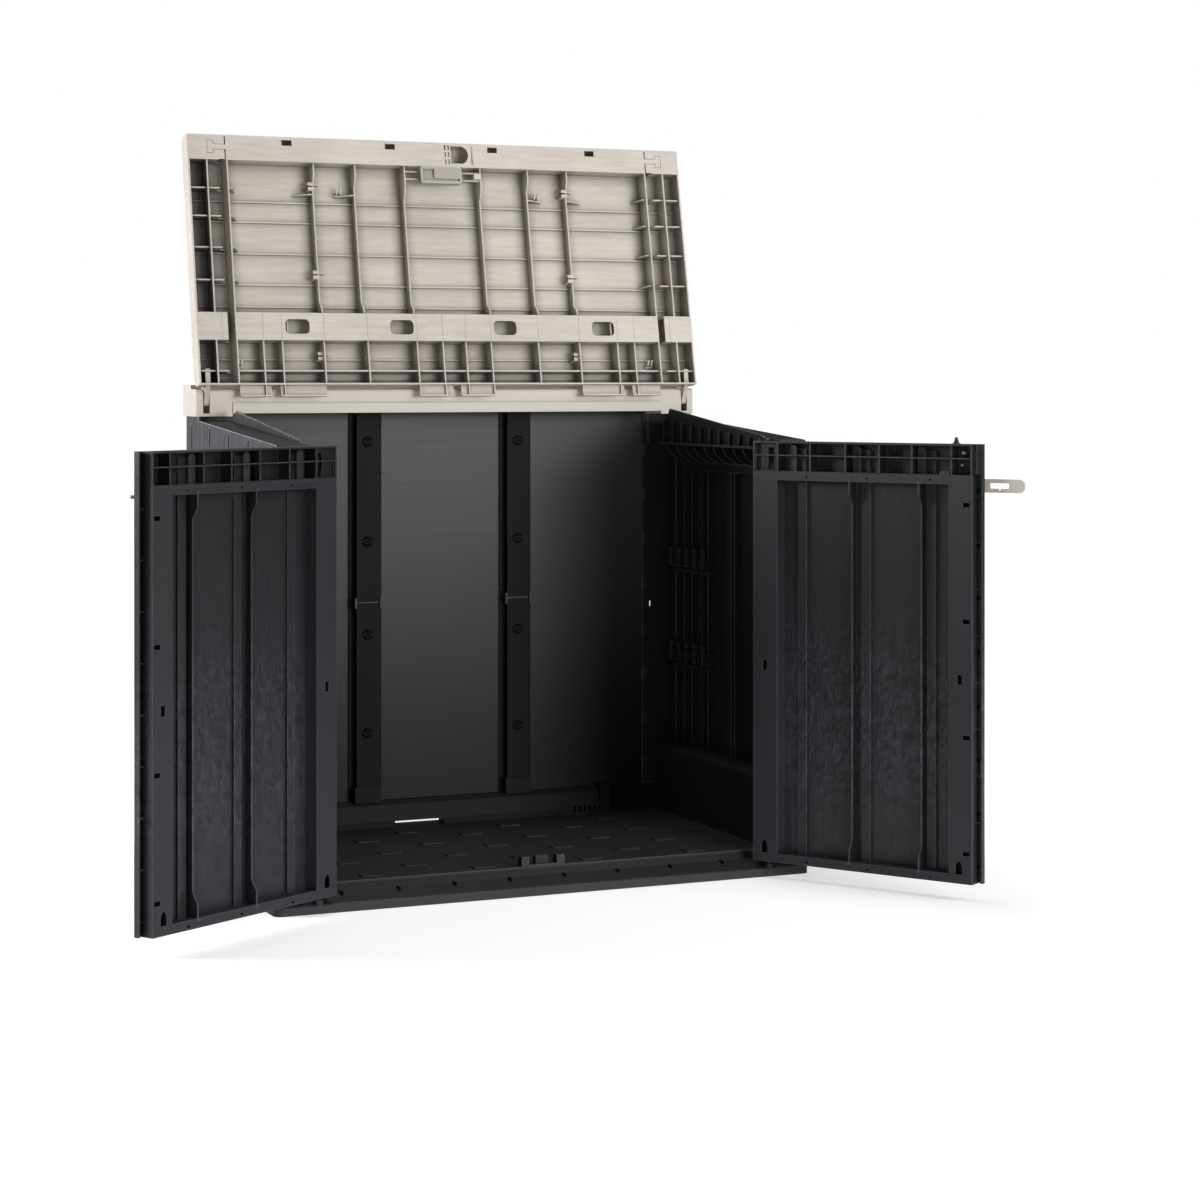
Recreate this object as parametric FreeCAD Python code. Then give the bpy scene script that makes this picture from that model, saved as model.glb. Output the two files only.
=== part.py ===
"""Garden storage box: resin shed with two doors and a lifting lid, shown open.

Frame: origin at the centre of the base on the ground, X to the right, -Y to the front, Z up.
Millimetres. The doors and the lid are drawn shut and then swung to their open rest pose.
"""
import FreeCAD
import Part
import math
import os

V = FreeCAD.Vector
X_AXIS = V(1, 0, 0)
Z_AXIS = V(0, 0, 1)
ORIGIN = V(0, 0, 0)

# Driving dimensions
BASE_W = 1296.0
BASE_D = 741.0
FLOOR_Z = 55.0
FLOOR_T = 5.0
BASE_WALL = 5.0
LIP_H = 17.0
SILL_Z = 36.0
SILL_D = 51.0
BASE_RIB_T = 4.0
TREAD_H = 2.6
KEEPER_W = 104.0
KEEPER_D = 24.0
KEEPER_H = 21.0

WALL_INSET = 5.0
WALL_T = 6.0
WALL_FRONT_SETBACK = 12.0
WALL_REAR_SETBACK = 12.0
PLANK_PITCH = 155.0
GROOVE_W = 6.0
GROOVE_D = 2.5
PLANK_START = 51.5
WALL_GROOVE_W = 11.0
WALL_GROOVE_D = 4.5
SHOULDER_W = 81.0
SHOULDER_T = 5.0
UPSTAND_T = 5.0
UPSTAND_RISE_REAR = 28.0
UPSTAND_RISE_FRONT = 5.0
BAND_Z = 945.0
BAND_RIB_Z = 990.0
GUSSET_PITCH = 52.0
WALL_RIB_T = 4.0
WALL_RIB_D = 12.0
LEDGE_Z = 222.0
LEDGE_D = 68.0
HOOK_Z = (452.0, 692.0)
HOOK_PITCH = 45.0
CORNER_SLOT_Z = 576.0
COLUMN_W = 65.0
COLUMN_D = 44.0

BEAM_D = 119.0
BEAM_H = 57.0
BEAM_Z = 1070.0
BEAM_WALL = 5.0
BEAM_CAP_W = 88.0
BEAM_RIDGE = 10.0
BEAM_RIDGE_Y = 46.0
BEAM_STRIP_T = 3.0
BEAM_STRIP_H = 24.0
BEAM_CAP_DROP = 7.0

SHEET_T = 5.0
POST_SPAN = 0.3056
POST_W = 56.0
POST_D = 33.0
POST_FLANGE_W = 84.0
POST_WALL = 4.0
POST_SPLIT_Z = 605.0
POST_REAR_SETBACK = 13.0
NOTCH_PITCH = 57.0
RAIL_H = 63.0
RAIL_D = 44.0
RAIL_REAR = 10.0
SOCKET_H = 36.0
RAIL_END = 0.70
RAIL_SLIT_L = 130.0
RAIL_SLIT_H = 13.0

LID_INSET = 1.0
LID_OVERHANG = 6.0
LID_WALL = 4.0
LID_SLOPE = 4.03
LID_REAR_T = 30.0
LID_TOP_T = 48.0
LID_NOSE = 16.0
LID_REAR_GAP = 18.0
LID_REAR_Z = 1052.0
LID_OPEN = 105.2
LID_PIVOT_IN = 11.0
LID_PIVOT_Z = 1098.0
LID_CHANNEL = 15.0
LID_RIB_T = 3.5
LID_FRONT_BAND = 60.0
LID_WINDOW_BAND = (0.180, 0.284)
LID_STEPS = (0.322, 0.411, 0.536, 0.664, 0.746)
LID_CROSS = (0.418, 0.548, 0.674, 0.787)
LID_REAR_STEPS = (0.057, 0.111)
LID_STEP_H = 6.0
LID_SHORT_RIB = 0.776
LID_RIB_LOW = 19.0
LID_CHEEK_CELL = 46.0
LID_RIBS = (0.180, 0.410, 0.601)
LID_REAR_RIBS = (0.054, 0.174, 0.401, 0.601, 0.788, 0.872)
LID_TABS = ((0.018, 0.176), (0.601, 0.806), (0.847, 0.986))
LID_FLAP = 28.0
LID_FLAP_DEPTH = 10.0
LID_HOLES = (0.243, 0.719)
LID_WINDOWS = (0.288, 0.656)
LID_ARM_T = 12.0
LID_ARM_IN = 30.0
LID_PIN_R = 5.0
LATCH_W = 108.0
LATCH_L = 42.0
LATCH_X = -8.0
LATCH_BACK = 25.0
LATCH_WALL = 3.0
LATCH_RIM = 6.0
LATCH_PROUD = 8.0
LATCH_DEPTH = 20.0
LATCH_RECESS = 5.0
CATCH_W = 66.0
CATCH_L = 23.0
CATCH_STEM = 12.0
CATCH_TRAVEL = 20.0
DHOLE_X = 47.0
DHOLE_W = 46.0

DOOR_Z = 38.0
DOOR_H = 970.0
DOOR_GAP = 3.4
DOOR_T = 38.0
DOOR_SKIN = 4.0
DOOR_WALL = 4.0
DOOR_PIVOT_IN = 31.3
DOOR_PIVOT_FRONT = 12.2
DOOR_PIVOT_S = 25.0
DOOR_PIVOT_N = 29.0
DOOR_OPEN_LEFT = 149.45
DOOR_OPEN_RIGHT = 122.2
DOOR_HEADER = 72.0
DOOR_STILE = 64.0
DOOR_STEP = 13.0
DOOR_RAIL = 20.0
DOOR_TOP_RAIL = 17.0
DOOR_FRAME_T = 5.0
DOOR_CELLS = (0.114, 0.263, 0.423, 0.574, 0.718, 0.889)
DOOR_RIBS = (0.4386, 0.7456)
DOOR_GROOVES = (0.2018, 0.4912, 0.7807)
DOOR_SLOTS = (0.069, 0.333, 0.597, 0.862)
DOOR_HOLES = (0.247, 0.521, 0.798)
DOOR_RIDGE_W = 22.0
DOOR_RIDGE_H = 6.0
DOOR_PIN_R = 5.0
DOOR_ARM_Z = 970.0
DOOR_ARM_T = 28.0
DOOR_ARM_R = 8.5
PEG_AT = 0.895
PEG_H = 15.0

HASP_Z = 916.0
HASP_H = 30.0
HASP_T = 4.0
HASP_REACH = 94.0
HASP_SLOT_START = 10.0
HASP_SLOT_L = 46.0
HASP_SLOT_H = 12.0
HASP_PIVOT_BACK = 14.0
HASP_PIN_R = 2.0

SCREW_HEAD_R = 13.0
SCREW_R = 2.4
POST_SCREW_Z = (286.0, 527.0, 754.0, 998.0)

# Clearances
SEAT = 0.3
RUN = 0.05
LID_REST = 0.5

# Places worked out from the driving dimensions
HALF_W = BASE_W / 2
HALF_D = BASE_D / 2
POST_X = HALF_W * POST_SPAN
WALL_X = HALF_W - WALL_INSET
WALL_IN = WALL_X - WALL_T
WALL_Y0 = -HALF_D + WALL_FRONT_SETBACK
WALL_Y1 = HALF_D - WALL_REAR_SETBACK
UPSTAND_X = WALL_X - SHOULDER_W
COLUMN_IN = WALL_X - COLUMN_W
DOOR_PIVOT_X = COLUMN_IN - DOOR_PIVOT_IN
DOOR_W = DOOR_PIVOT_X + DOOR_PIVOT_S - DOOR_GAP / 2
LID_W = BASE_W - 2 * LID_INSET
LID_SEAM_X = UPSTAND_X + UPSTAND_T / 2 - LID_CHANNEL / 2 - 1
LID_CHANNEL_X = LID_SEAM_X + LID_CHANNEL
LID_ARM_X = HALF_W - LID_ARM_IN
DOOR_PIVOT_Y = -HALF_D + DOOR_PIVOT_FRONT
PEG_S = DOOR_W * PEG_AT
BEAM_Y = HALF_D - BEAM_D
BEAM_TOP = BEAM_Z + BEAM_H
LID_REAR_Y = BEAM_Y - LID_REAR_GAP
LID_PIVOT_Y = BEAM_Y + LID_PIVOT_IN
LID_L = LID_REAR_Y + HALF_D + LID_OVERHANG
CAP_X = HALF_W - BEAM_CAP_W
CAP_Z = BEAM_Z - BEAM_CAP_DROP
SHEET_Y1 = HALF_D - POST_REAR_SETBACK - POST_WALL - SEAT
SHEET_Y0 = SHEET_Y1 - SHEET_T
POST_Y1 = HALF_D - POST_REAR_SETBACK
POST_Y0 = POST_Y1 - POST_D
RAIL_TOP = FLOOR_Z + RAIL_H
DOOR_TOP = DOOR_Z + DOOR_H
HEADER_Z = DOOR_TOP - DOOR_HEADER
SLOPE = math.radians(LID_SLOPE)


def rim_z(y):
    """Height of the shut lid's rim plane at depth y."""
    return LID_REAR_Z - (LID_REAR_Y - y) * math.tan(SLOPE)


def shoulder_z(y):
    return rim_z(y) - LID_REST


def box(x0, x1, y0, y1, z0, z1):
    low = V(min(x0, x1), min(y0, y1), min(z0, z1))
    return Part.makeBox(abs(x1 - x0), abs(y1 - y0), abs(z1 - z0), low)


def cylinder(base, axis, radius, length):
    return Part.makeCylinder(radius, length, base, axis)


def outline(points, place):
    """Closed wire; a point given as a pair of points is an arc's middle and end."""
    edges = []
    last = points[0]
    for item in list(points[1:]) + [points[0]]:
        if isinstance(item[0], tuple):
            mid, end = item
            edges.append(Part.Arc(place(*last), place(*mid), place(*end)).toShape())
            last = end
        elif place(*item).distanceToPoint(place(*last)) > 1e-6:
            edges.append(Part.makeLine(place(*last), place(*item)))
            last = item
    return Part.Wire(edges)


def prism_x(points, x0, x1):
    """Profile in (y, z) extruded from x0 to x1."""
    face = Part.Face(outline(points, lambda y, z: V(x0, y, z)))
    return face.extrude(V(x1 - x0, 0, 0))


def prism_y(points, y0, y1):
    """Profile in (x, z) extruded from y0 to y1."""
    face = Part.Face(outline(points, lambda x, z: V(x, y0, z)))
    return face.extrude(V(0, y1 - y0, 0))


def prism_z(points, z0, z1):
    """Profile in (x, y) extruded from z0 to z1."""
    face = Part.Face(outline(points, lambda x, y: V(x, y, z0)))
    return face.extrude(V(0, 0, z1 - z0))


def fuse(shapes):
    body = shapes[0].multiFuse(shapes[1:]) if len(shapes) > 1 else shapes[0]
    return body.removeSplitter()


def cut(shape, tools):
    return shape.cut(Part.makeCompound(tools)) if tools else shape


def mirrored(shape):
    return shape.mirror(ORIGIN, X_AXIS)


def moved(shape, angle, axis, centre):
    copy = shape.copy()
    copy.rotate(centre, axis, angle)
    return copy


def steps(first, last, pitch):
    """Evenly pitched places from first, not past last."""
    count = int((last - first) / pitch + 1e-6)
    return [first + pitch * i for i in range(count + 1)]


# Base

def tread_marks():
    """Raised L-shaped anti-slip marks in staggered columns across the floor."""
    marks = []
    length, width, leg = 50.0, 6.0, 34.0
    low, high = FLOOR_Z - 1, FLOOR_Z + TREAD_H
    for column, x in enumerate(steps(-HALF_W + 94, HALF_W - 140, 132)):
        for y in steps(-HALF_D + (82 if column % 2 else 165), HALF_D - 90, 166):
            marks.append(box(x, x + length, y, y + width, low, high))
            marks.append(box(x, x + width, y, y + leg, low, high))
    return marks


def door_keeper():
    """Block behind the sill with two sockets for the doors' bottom corners."""
    y0 = -HALF_D + SILL_D + 11
    y1 = y0 + KEEPER_D
    half = KEEPER_W / 2
    end = 18.0
    centre = 15.0
    parts = [box(-half, half, y0, y1, FLOOR_Z - 1, FLOOR_Z + 3)]
    for side in (-1, 1):
        parts.append(box(side * half, side * (half - end), y0, y1, FLOOR_Z, FLOOR_Z + KEEPER_H))
    parts.append(box(-centre, centre, y0 + 8, y1, FLOOR_Z, FLOOR_Z + KEEPER_H))
    return parts


def base_floor():
    front = -HALF_D
    sill_y = front + SILL_D
    inner = COLUMN_IN
    section = [(front, 0), (front, LIP_H), (front + 4, LIP_H + 3),
               (sill_y, SILL_Z), (sill_y + 10, FLOOR_Z), (HALF_D, FLOOR_Z), (HALF_D, 0)]
    hollow = [(front + BASE_WALL, -1), (front + BASE_WALL, LIP_H - 2),
              (sill_y + 2, SILL_Z - FLOOR_T), (sill_y + 12, FLOOR_Z - FLOOR_T),
              (HALF_D - BASE_WALL, FLOOR_Z - FLOOR_T), (HALF_D - BASE_WALL, -1)]
    middle = prism_x(section, -inner, inner).cut(prism_x(hollow, -inner, inner))
    parts = [middle]
    for side in (-1, 1):
        block = box(side * inner, side * HALF_W, front, HALF_D, 0, FLOOR_Z)
        corner = 18.0
        edges = [e for e in block.Edges if abs(abs(e.CenterOfMass.x) - HALF_W) < 0.1
                 and abs(abs(e.CenterOfMass.y) - HALF_D) < 0.1]
        block = block.makeFillet(corner, edges)
        void = box(side * (inner + BASE_WALL), side * (HALF_W - BASE_WALL),
                   WALL_Y0 + BASE_WALL, HALF_D - BASE_WALL - corner / 3, -1, FLOOR_Z - FLOOR_T)
        ramp = SILL_Z * (WALL_Y0 - front) / SILL_D + (LIP_H + 3) * (1 - (WALL_Y0 - front) / SILL_D)
        above = prism_x([(front - 1, LIP_H), (front, LIP_H), (front + 4, LIP_H + 3), (WALL_Y0, ramp),
                         (WALL_Y0, FLOOR_Z + 1), (front - 1, FLOOR_Z + 1)],
                        side * (inner - 1), side * (HALF_W + 1))
        parts.append(cut(block, [void, above]))
    under = SILL_Z - FLOOR_T
    for x in steps(-2, 2, 1):
        x = x * inner / 2.6
        parts.append(box(x - BASE_RIB_T / 2, x + BASE_RIB_T / 2, sill_y + 12, HALF_D - 1, 0, FLOOR_Z - 2))
    for y in steps(-1, 1, 1):
        y = y * HALF_D / 2
        parts.append(box(-inner - 1, inner + 1, y - BASE_RIB_T / 2, y + BASE_RIB_T / 2, 0, FLOOR_Z - 2))
    for side in (-1, 1):
        boss = cylinder(V(side * DOOR_PIVOT_X, DOOR_PIVOT_Y, 0), Z_AXIS, 11.0, under - 3)
        trim = box(-HALF_W, HALF_W, front - 20, front, -1, FLOOR_Z)
        parts.append(boss.cut(trim))
    body = fuse(parts + door_keeper() + tread_marks())
    bores = [cylinder(V(side * DOOR_PIVOT_X, DOOR_PIVOT_Y, 6), Z_AXIS, DOOR_PIN_R + RUN, FLOOR_Z)
             for side in (-1, 1)]
    return cut(body, bores)


# Side panels, drawn on the right and mirrored

def wall_profile(y0, y1, low):
    rear = min(y1, BEAM_Y - SEAT)
    top = [(y0, shoulder_z(y0)), (rear, shoulder_z(rear))]
    if y1 > rear:
        top += [(BEAM_Y - SEAT, CAP_Z), (y1, CAP_Z)]
    return [(y0, low)] + top + [(y1, low)]


def upstand():
    """Thin wall inside the shoulder that the shut lid's channel straddles; its front end rounds down."""
    y0 = WALL_Y0 + COLUMN_D + 6
    y1 = LID_REAR_Y + 6
    radius = shoulder_z(y0) - BAND_RIB_Z
    knee = y0 + radius
    rise = shoulder_z(knee) + UPSTAND_RISE_FRONT
    turn = math.sqrt(0.5) * radius
    profile = [(y0, BAND_RIB_Z), (y0, rise - radius),
               ((knee - turn, rise - radius + turn), (knee, rise)),
               (y1, shoulder_z(y1) + UPSTAND_RISE_REAR), (y1, BAND_RIB_Z)]
    swing_r = math.hypot(LID_PIVOT_Y - LID_REAR_Y + LID_WALL, LID_PIVOT_Z - LID_REAR_Z) + 2.0
    swept = cylinder(V(UPSTAND_X - 1, LID_PIVOT_Y, LID_PIVOT_Z), X_AXIS, swing_r, UPSTAND_T + 2)
    above = box(UPSTAND_X - 1, UPSTAND_X + UPSTAND_T + 1, WALL_Y0, HALF_D, shoulder_z(LID_REAR_Y) - 3,
                BEAM_TOP)
    return prism_x(profile, UPSTAND_X, UPSTAND_X + UPSTAND_T).cut(swept.common(above))


def band_gussets():
    """Ribs under the shoulder, each curving from the upstand back to the skin."""
    parts = []
    reach = WALL_IN - UPSTAND_X
    for y in steps(WALL_Y0 + COLUMN_D + 20, BEAM_Y - 20, GUSSET_PITCH):
        top = shoulder_z(y) - 1
        profile = [(WALL_IN + 1, BAND_Z), (WALL_IN - reach * 0.25, BAND_Z),
                   ((UPSTAND_X + reach * 0.22, BAND_Z + 14), (UPSTAND_X + 1, BAND_RIB_Z)),
                   (UPSTAND_X + 1, top), (WALL_IN + 1, top)]
        parts.append(prism_y(profile, y - WALL_RIB_T / 2, y + WALL_RIB_T / 2))
        parts.append(box(UPSTAND_X - 9, UPSTAND_X + 2, y - 2.5, y + 2.5, BAND_RIB_Z - 1, top - 2))
    return parts


def shelf_hooks():
    """Upright bars on the inner face, joined into two ladder-like sets of moulded shelf hooks."""
    parts = []
    places = steps(HALF_D - 72 - 4 * HOOK_PITCH, HALF_D - 72, HOOK_PITCH)
    for y in places:
        parts.append(box(WALL_IN - 10, WALL_IN + 1, y + 1, y + 6, LEDGE_Z - 1, BAND_Z))
        for z in HOOK_Z:
            parts.append(box(WALL_IN - 28, WALL_IN + 1, y - 2, y + 9, z - 16, z + 10))
            parts.append(box(WALL_IN - 28, WALL_IN - 20, y - 2, y + 9, z + 9, z + 30))
    for z in HOOK_Z:
        parts.append(box(WALL_IN - 20, WALL_IN + 1, places[0], places[-1] + 7, z - 4, z + 4))
        parts.append(box(WALL_IN - 14, WALL_IN + 1, places[0], places[-1] + 7, z - 30, z - 24))
    trough = HALF_D - 393
    for y in (trough - 9, trough + 9):
        parts.append(box(WALL_IN - 14, WALL_IN + 1, y - 3, y + 3, LEDGE_Z - 1, BAND_Z))
    return parts


def door_arm():
    """Bracket on the front column that holds the top of the door's pivot pin."""
    r = DOOR_ARM_R
    x, y = DOOR_PIVOT_X, DOOR_PIVOT_Y
    plan = [(COLUMN_IN + 3, y - r), (x, y - r), ((x - r, y), (x, y + r)), (COLUMN_IN + 3, y + r)]
    z0 = DOOR_ARM_Z - DOOR_ARM_T / 2
    arm = prism_z(plan, z0, z0 + DOOR_ARM_T)
    bore = cylinder(V(x, y, z0 - 1), Z_AXIS, DOOR_PIN_R + RUN, DOOR_ARM_T + 2)
    return arm.cut(bore)


def side_panel():
    y0, y1 = WALL_Y0, WALL_Y1
    skin = prism_x(wall_profile(y0, y1, FLOOR_Z), WALL_IN, WALL_X)
    ledges = []
    for start, x in ((y0, COLUMN_IN), (y0 + COLUMN_D, UPSTAND_X)):
        ledges.append(prism_x([(start, shoulder_z(start) - SHOULDER_T), (start, shoulder_z(start)),
                               (BEAM_Y - SEAT, shoulder_z(BEAM_Y - SEAT)),
                               (BEAM_Y - SEAT, shoulder_z(BEAM_Y) - SHOULDER_T)], x, WALL_X))
    y_band0, y_band1 = y0 + COLUMN_D, BEAM_Y - 10
    flange = box(UPSTAND_X - 12, WALL_IN + 2, y_band0, y_band1, BAND_RIB_Z - 3, BAND_RIB_Z + 2)
    shoulder = fuse([upstand(), flange] + band_gussets())
    parts = [skin, shoulder] + ledges + [fuse(shelf_hooks())]
    parts.append(box(WALL_IN - 28, WALL_IN + 1, y_band0, y_band1, BAND_Z - 5, BAND_Z))
    parts.append(box(WALL_IN - 16, WALL_IN + 1, y_band0, y_band1, BAND_Z - 24, BAND_Z - 4))
    for y in steps(y0 + PLANK_START, y1 - 20, PLANK_PITCH):
        parts.append(box(WALL_IN - WALL_RIB_D, WALL_IN + 1, y - 9, y + 9, LEDGE_Z - 1, BAND_Z))
    ledge_x = WALL_IN - LEDGE_D
    lower = [(ledge_x, FLOOR_Z), (ledge_x, LEDGE_Z - 14),
             ((ledge_x + 4, LEDGE_Z - 4), (ledge_x + 14, LEDGE_Z)),
             (WALL_IN + 1, LEDGE_Z), (WALL_IN + 1, LEDGE_Z - 5),
             (ledge_x + 5, LEDGE_Z - 18), (ledge_x + 5, FLOOR_Z)]
    parts.append(prism_y(lower, y_band0 - 1, HALF_D - RAIL_REAR - RAIL_D - SEAT))
    # Front column, open at the back, and rear flange that the back sheet stands behind
    column_top = shoulder_z(y0) - 1
    parts.append(box(COLUMN_IN, WALL_X, y0, y0 + 5, FLOOR_Z, column_top))
    parts.append(box(COLUMN_IN, COLUMN_IN + 5, y0, y0 + COLUMN_D, FLOOR_Z, column_top))
    parts.append(box(ledge_x, COLUMN_IN + 1, y_band0 - 5, y_band0, FLOOR_Z, LEDGE_Z - 20))
    parts.append(box(COLUMN_IN, WALL_IN + 1, y_band0 - 5, y_band0, FLOOR_Z, column_top))
    flange_y = SHEET_Y0 - SEAT
    parts.append(box(UPSTAND_X - 12, WALL_IN + 1, flange_y - 5, flange_y, RAIL_TOP, CAP_Z))
    parts.append(box(CAP_X, CAP_X + 5, flange_y, y1, RAIL_TOP, CAP_Z))
    body = fuse(parts + [door_arm()])
    grooves = []
    for y in steps(y0 + PLANK_START, y1 - 20, PLANK_PITCH):
        top = shoulder_z(min(y, BEAM_Y)) - 9
        half = WALL_GROOVE_W / 2
        plan = [(WALL_X + 1, y - half), (WALL_X + 1, y + half), (WALL_X - WALL_GROOVE_D, y + half - 2),
                (WALL_X - WALL_GROOVE_D, y - half + 2)]
        grooves.append(prism_z(plan, FLOOR_Z + 8, top))
    slots = [box(UPSTAND_X - 10, UPSTAND_X - 5, flange_y - 6, flange_y + 1, z, z + 26)
             for z in steps(RAIL_TOP + 40, CAP_Z - 60, 2 * NOTCH_PITCH)]
    slots.append(box(UPSTAND_X + 8, UPSTAND_X + 12, flange_y - 6, flange_y + 1, CORNER_SLOT_Z - 7,
                     CORNER_SLOT_Z + 7))
    return cut(body, grooves + slots)


# Back

def back_sheet(x0, x1):
    return box(x0, x1, SHEET_Y0, SHEET_Y1, RAIL_TOP - 18 + SEAT, BEAM_Z + 20)


def sheet_edges():
    """Left and right edge of each sheet, from the post webs and the side flanges."""
    web = POST_W / 2 + SEAT
    side = CAP_X - SEAT
    return {"back_sheet_left": (-side, -POST_X - web),
            "back_sheet_centre": (-POST_X + web, POST_X - web),
            "back_sheet_right": (POST_X + web, side)}


def back_post(z0, z1):
    """Hollow post at x = 0 with a flange before and behind the sheets, and clip notches."""
    half, wide = POST_W / 2, POST_FLANGE_W / 2
    tube = box(-half, half, POST_Y0, POST_Y1, z0, z1)
    front = box(-wide, wide, SHEET_Y0 - SEAT - POST_WALL, SHEET_Y0 - SEAT, z0, z1)
    rear = box(-wide, wide, SHEET_Y1 + SEAT, POST_Y1, z0, z1)
    body = fuse([tube, front, rear])
    hollow = box(-half + POST_WALL, half - POST_WALL, POST_Y0 + POST_WALL, POST_Y1 - POST_WALL, z0 - 1,
                 z1 + 1)
    tools = [hollow]
    for z in steps(z0 + 28, z1 - 16, NOTCH_PITCH):
        for side in (-1, 1):
            tools.append(box(side * (wide - 7), side * (wide + 1), SHEET_Y0 - SEAT - POST_WALL - 1,
                             SHEET_Y0 - SEAT + 1, z, z + 7))
    for z in POST_SCREW_Z:
        if z0 < z < z1:
            tools.append(cylinder(V(0, POST_Y0 - 1, z), V(0, 1, 0), SCREW_R, POST_WALL + 2))
    return cut(body, tools)


def back_bottom_rail():
    """Rail on the floor with a groove for the sheets and a socket round each post."""
    y1 = HALF_D - RAIL_REAR
    y0 = y1 - RAIL_D
    half = WALL_IN - SEAT
    parts = [prism_x([(y0, FLOOR_Z), (y0, FLOOR_Z + 14), (y0 + 8, RAIL_TOP - 10), (y0 + 14, RAIL_TOP),
                      (y1, RAIL_TOP), (y1, FLOOR_Z)], -half, half)]
    end = half * RAIL_END
    for side in (-1, 1):
        parts.append(box(side * (end - 26), side * end, y0 - 5, y1, FLOOR_Z, RAIL_TOP + 7))
    outer = POST_W / 2 + 6
    for x in (-POST_X, POST_X):
        parts.append(box(x - outer, x + outer, POST_Y0 - 6, y1, RAIL_TOP - 1, RAIL_TOP + SOCKET_H))
    body = fuse(parts)
    tools = [box(-half + 8, half - 8, SHEET_Y0 - SEAT, SHEET_Y1 + SEAT, RAIL_TOP - 18,
                 RAIL_TOP + SOCKET_H + 1)]
    for x in (-POST_X, POST_X):
        web = POST_W / 2 + SEAT
        wide = POST_FLANGE_W / 2 + SEAT
        tools.append(box(x - web, x + web, POST_Y0 - SEAT, POST_Y1 + SEAT, RAIL_TOP,
                         RAIL_TOP + SOCKET_H + 1))
        tools.append(box(x - wide, x + wide, SHEET_Y0 - 2 * SEAT - POST_WALL, POST_Y1 + SEAT,
                         RAIL_TOP, RAIL_TOP + SOCKET_H + 1))
    tools.append(box(-RAIL_SLIT_L, 0, y0 - 1, y1 + 1, FLOOR_Z - 1, FLOOR_Z + RAIL_SLIT_H))
    vents = (POST_X + half) / 2 - 70
    for x in steps(vents, vents + 70, 14):
        tools.append(box(x, x + 6, y0 - 1, y0 + 12, FLOOR_Z + 4, FLOOR_Z + 19))
    for side in (-1, 1):
        tools.append(box(side * end, side * (half + 1), y0 - 1, SHEET_Y0 - SEAT - 6, FLOOR_Z + 9,
                         RAIL_TOP + 1))
    return cut(body, tools)


def beam_section(low):
    """Beam profile in (y, z): rounded front edge, flat top and a raised ridge along the rear."""
    y0, y1 = BEAM_Y, HALF_D
    r = 8.0
    turn = r * (1 - math.sqrt(0.5))
    ridge = y0 + BEAM_RIDGE_Y
    high = BEAM_TOP + BEAM_RIDGE
    return [(y0, low), (y0, BEAM_TOP - r), ((y0 + turn, BEAM_TOP - turn), (y0 + r, BEAM_TOP)),
            (ridge, BEAM_TOP),
            (ridge + 7, high), (y1 - r, high), ((y1 - turn, high - turn), (y1, high - r)), (y1, low)]


def rear_beam():
    """Hollow beam over the back, open below, between the two end blocks."""
    y0, y1 = BEAM_Y, HALF_D
    w = BEAM_WALL
    ridge = y0 + BEAM_RIDGE_Y + 7 + w
    shell = prism_x(beam_section(BEAM_Z), -CAP_X, CAP_X)
    shell = cut(shell, [box(-CAP_X - 1, CAP_X + 1, y0 + w, y1 - w, BEAM_Z - 1, BEAM_TOP - w),
                        box(-CAP_X - 1, CAP_X + 1, ridge, y1 - w, BEAM_Z, BEAM_TOP + BEAM_RIDGE - w)])
    strip = box(-CAP_X, CAP_X, y0 - BEAM_STRIP_T, y0 + 1, BEAM_Z, BEAM_Z + BEAM_STRIP_H)
    ribs = [box(x - 2, x + 2, y0 + 1, y1 - 1, BEAM_Z + 26, BEAM_TOP - 1)
            for x in steps(-CAP_X + 104, CAP_X - 104, (CAP_X - 104) / 4)]
    # A strip before and behind the sheets' top edges
    heads = [box(-CAP_X, CAP_X, SHEET_Y0 - SEAT - 4, SHEET_Y0 - SEAT, BEAM_Z, BEAM_TOP - 1),
             box(-CAP_X, CAP_X, SHEET_Y1 + SEAT, SHEET_Y1 + SEAT + 4, BEAM_Z, BEAM_TOP - 1)]
    body = fuse([shell, strip] + ribs + heads)
    tools = []
    web = POST_FLANGE_W / 2 + SEAT
    for side in (-1, 1):
        tools.append(box(side * POST_X - web, side * POST_X + web, POST_Y0 - SEAT, POST_Y1 + SEAT,
                         BEAM_Z - 1, BEAM_Z + 12))
    tools.append(box(-CAP_X - 1, CAP_X + 1, SHEET_Y0 - SEAT, SHEET_Y1 + SEAT, BEAM_Z - 1,
                     BEAM_Z + 20 + SEAT))
    return cut(body, tools)


def arm_slot():
    """The two sides of the slot that a lid arm swings in."""
    return LID_ARM_X - 2, LID_ARM_X + LID_ARM_T + 2


def beam_cap():
    """Right end block of the beam, on the side panel; its slot holds the lid's arm and pin."""
    y0, y1 = BEAM_Y, HALF_D
    w = BEAM_WALL
    arm0, arm1 = arm_slot()
    block = prism_x(beam_section(CAP_Z), CAP_X, HALF_W)
    void = box(CAP_X + w, arm0 - 9, y0 + w, y1 - w, CAP_Z + w, BEAM_TOP - w)
    slot = box(arm0, arm1, y0 - 1, LID_PIVOT_Y + 16, CAP_Z + 7, BEAM_TOP + 1)
    bore = cylinder(V(arm0 - 8, LID_PIVOT_Y, LID_PIVOT_Z), X_AXIS, LID_PIN_R, arm1 - arm0 + 16)
    return cut(block, [void, slot, bore])


def lid_pins():
    """One hinge pin at each end, across the slot of the end block."""
    arm0, arm1 = arm_slot()
    pins = []
    for side in (-1, 1):
        start = arm0 - 8 if side > 0 else -arm1 - 8
        pins.append(cylinder(V(start, LID_PIVOT_Y, LID_PIVOT_Z), X_AXIS, LID_PIN_R, arm1 - arm0 + 16))
    return Part.makeCompound(pins)


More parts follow.
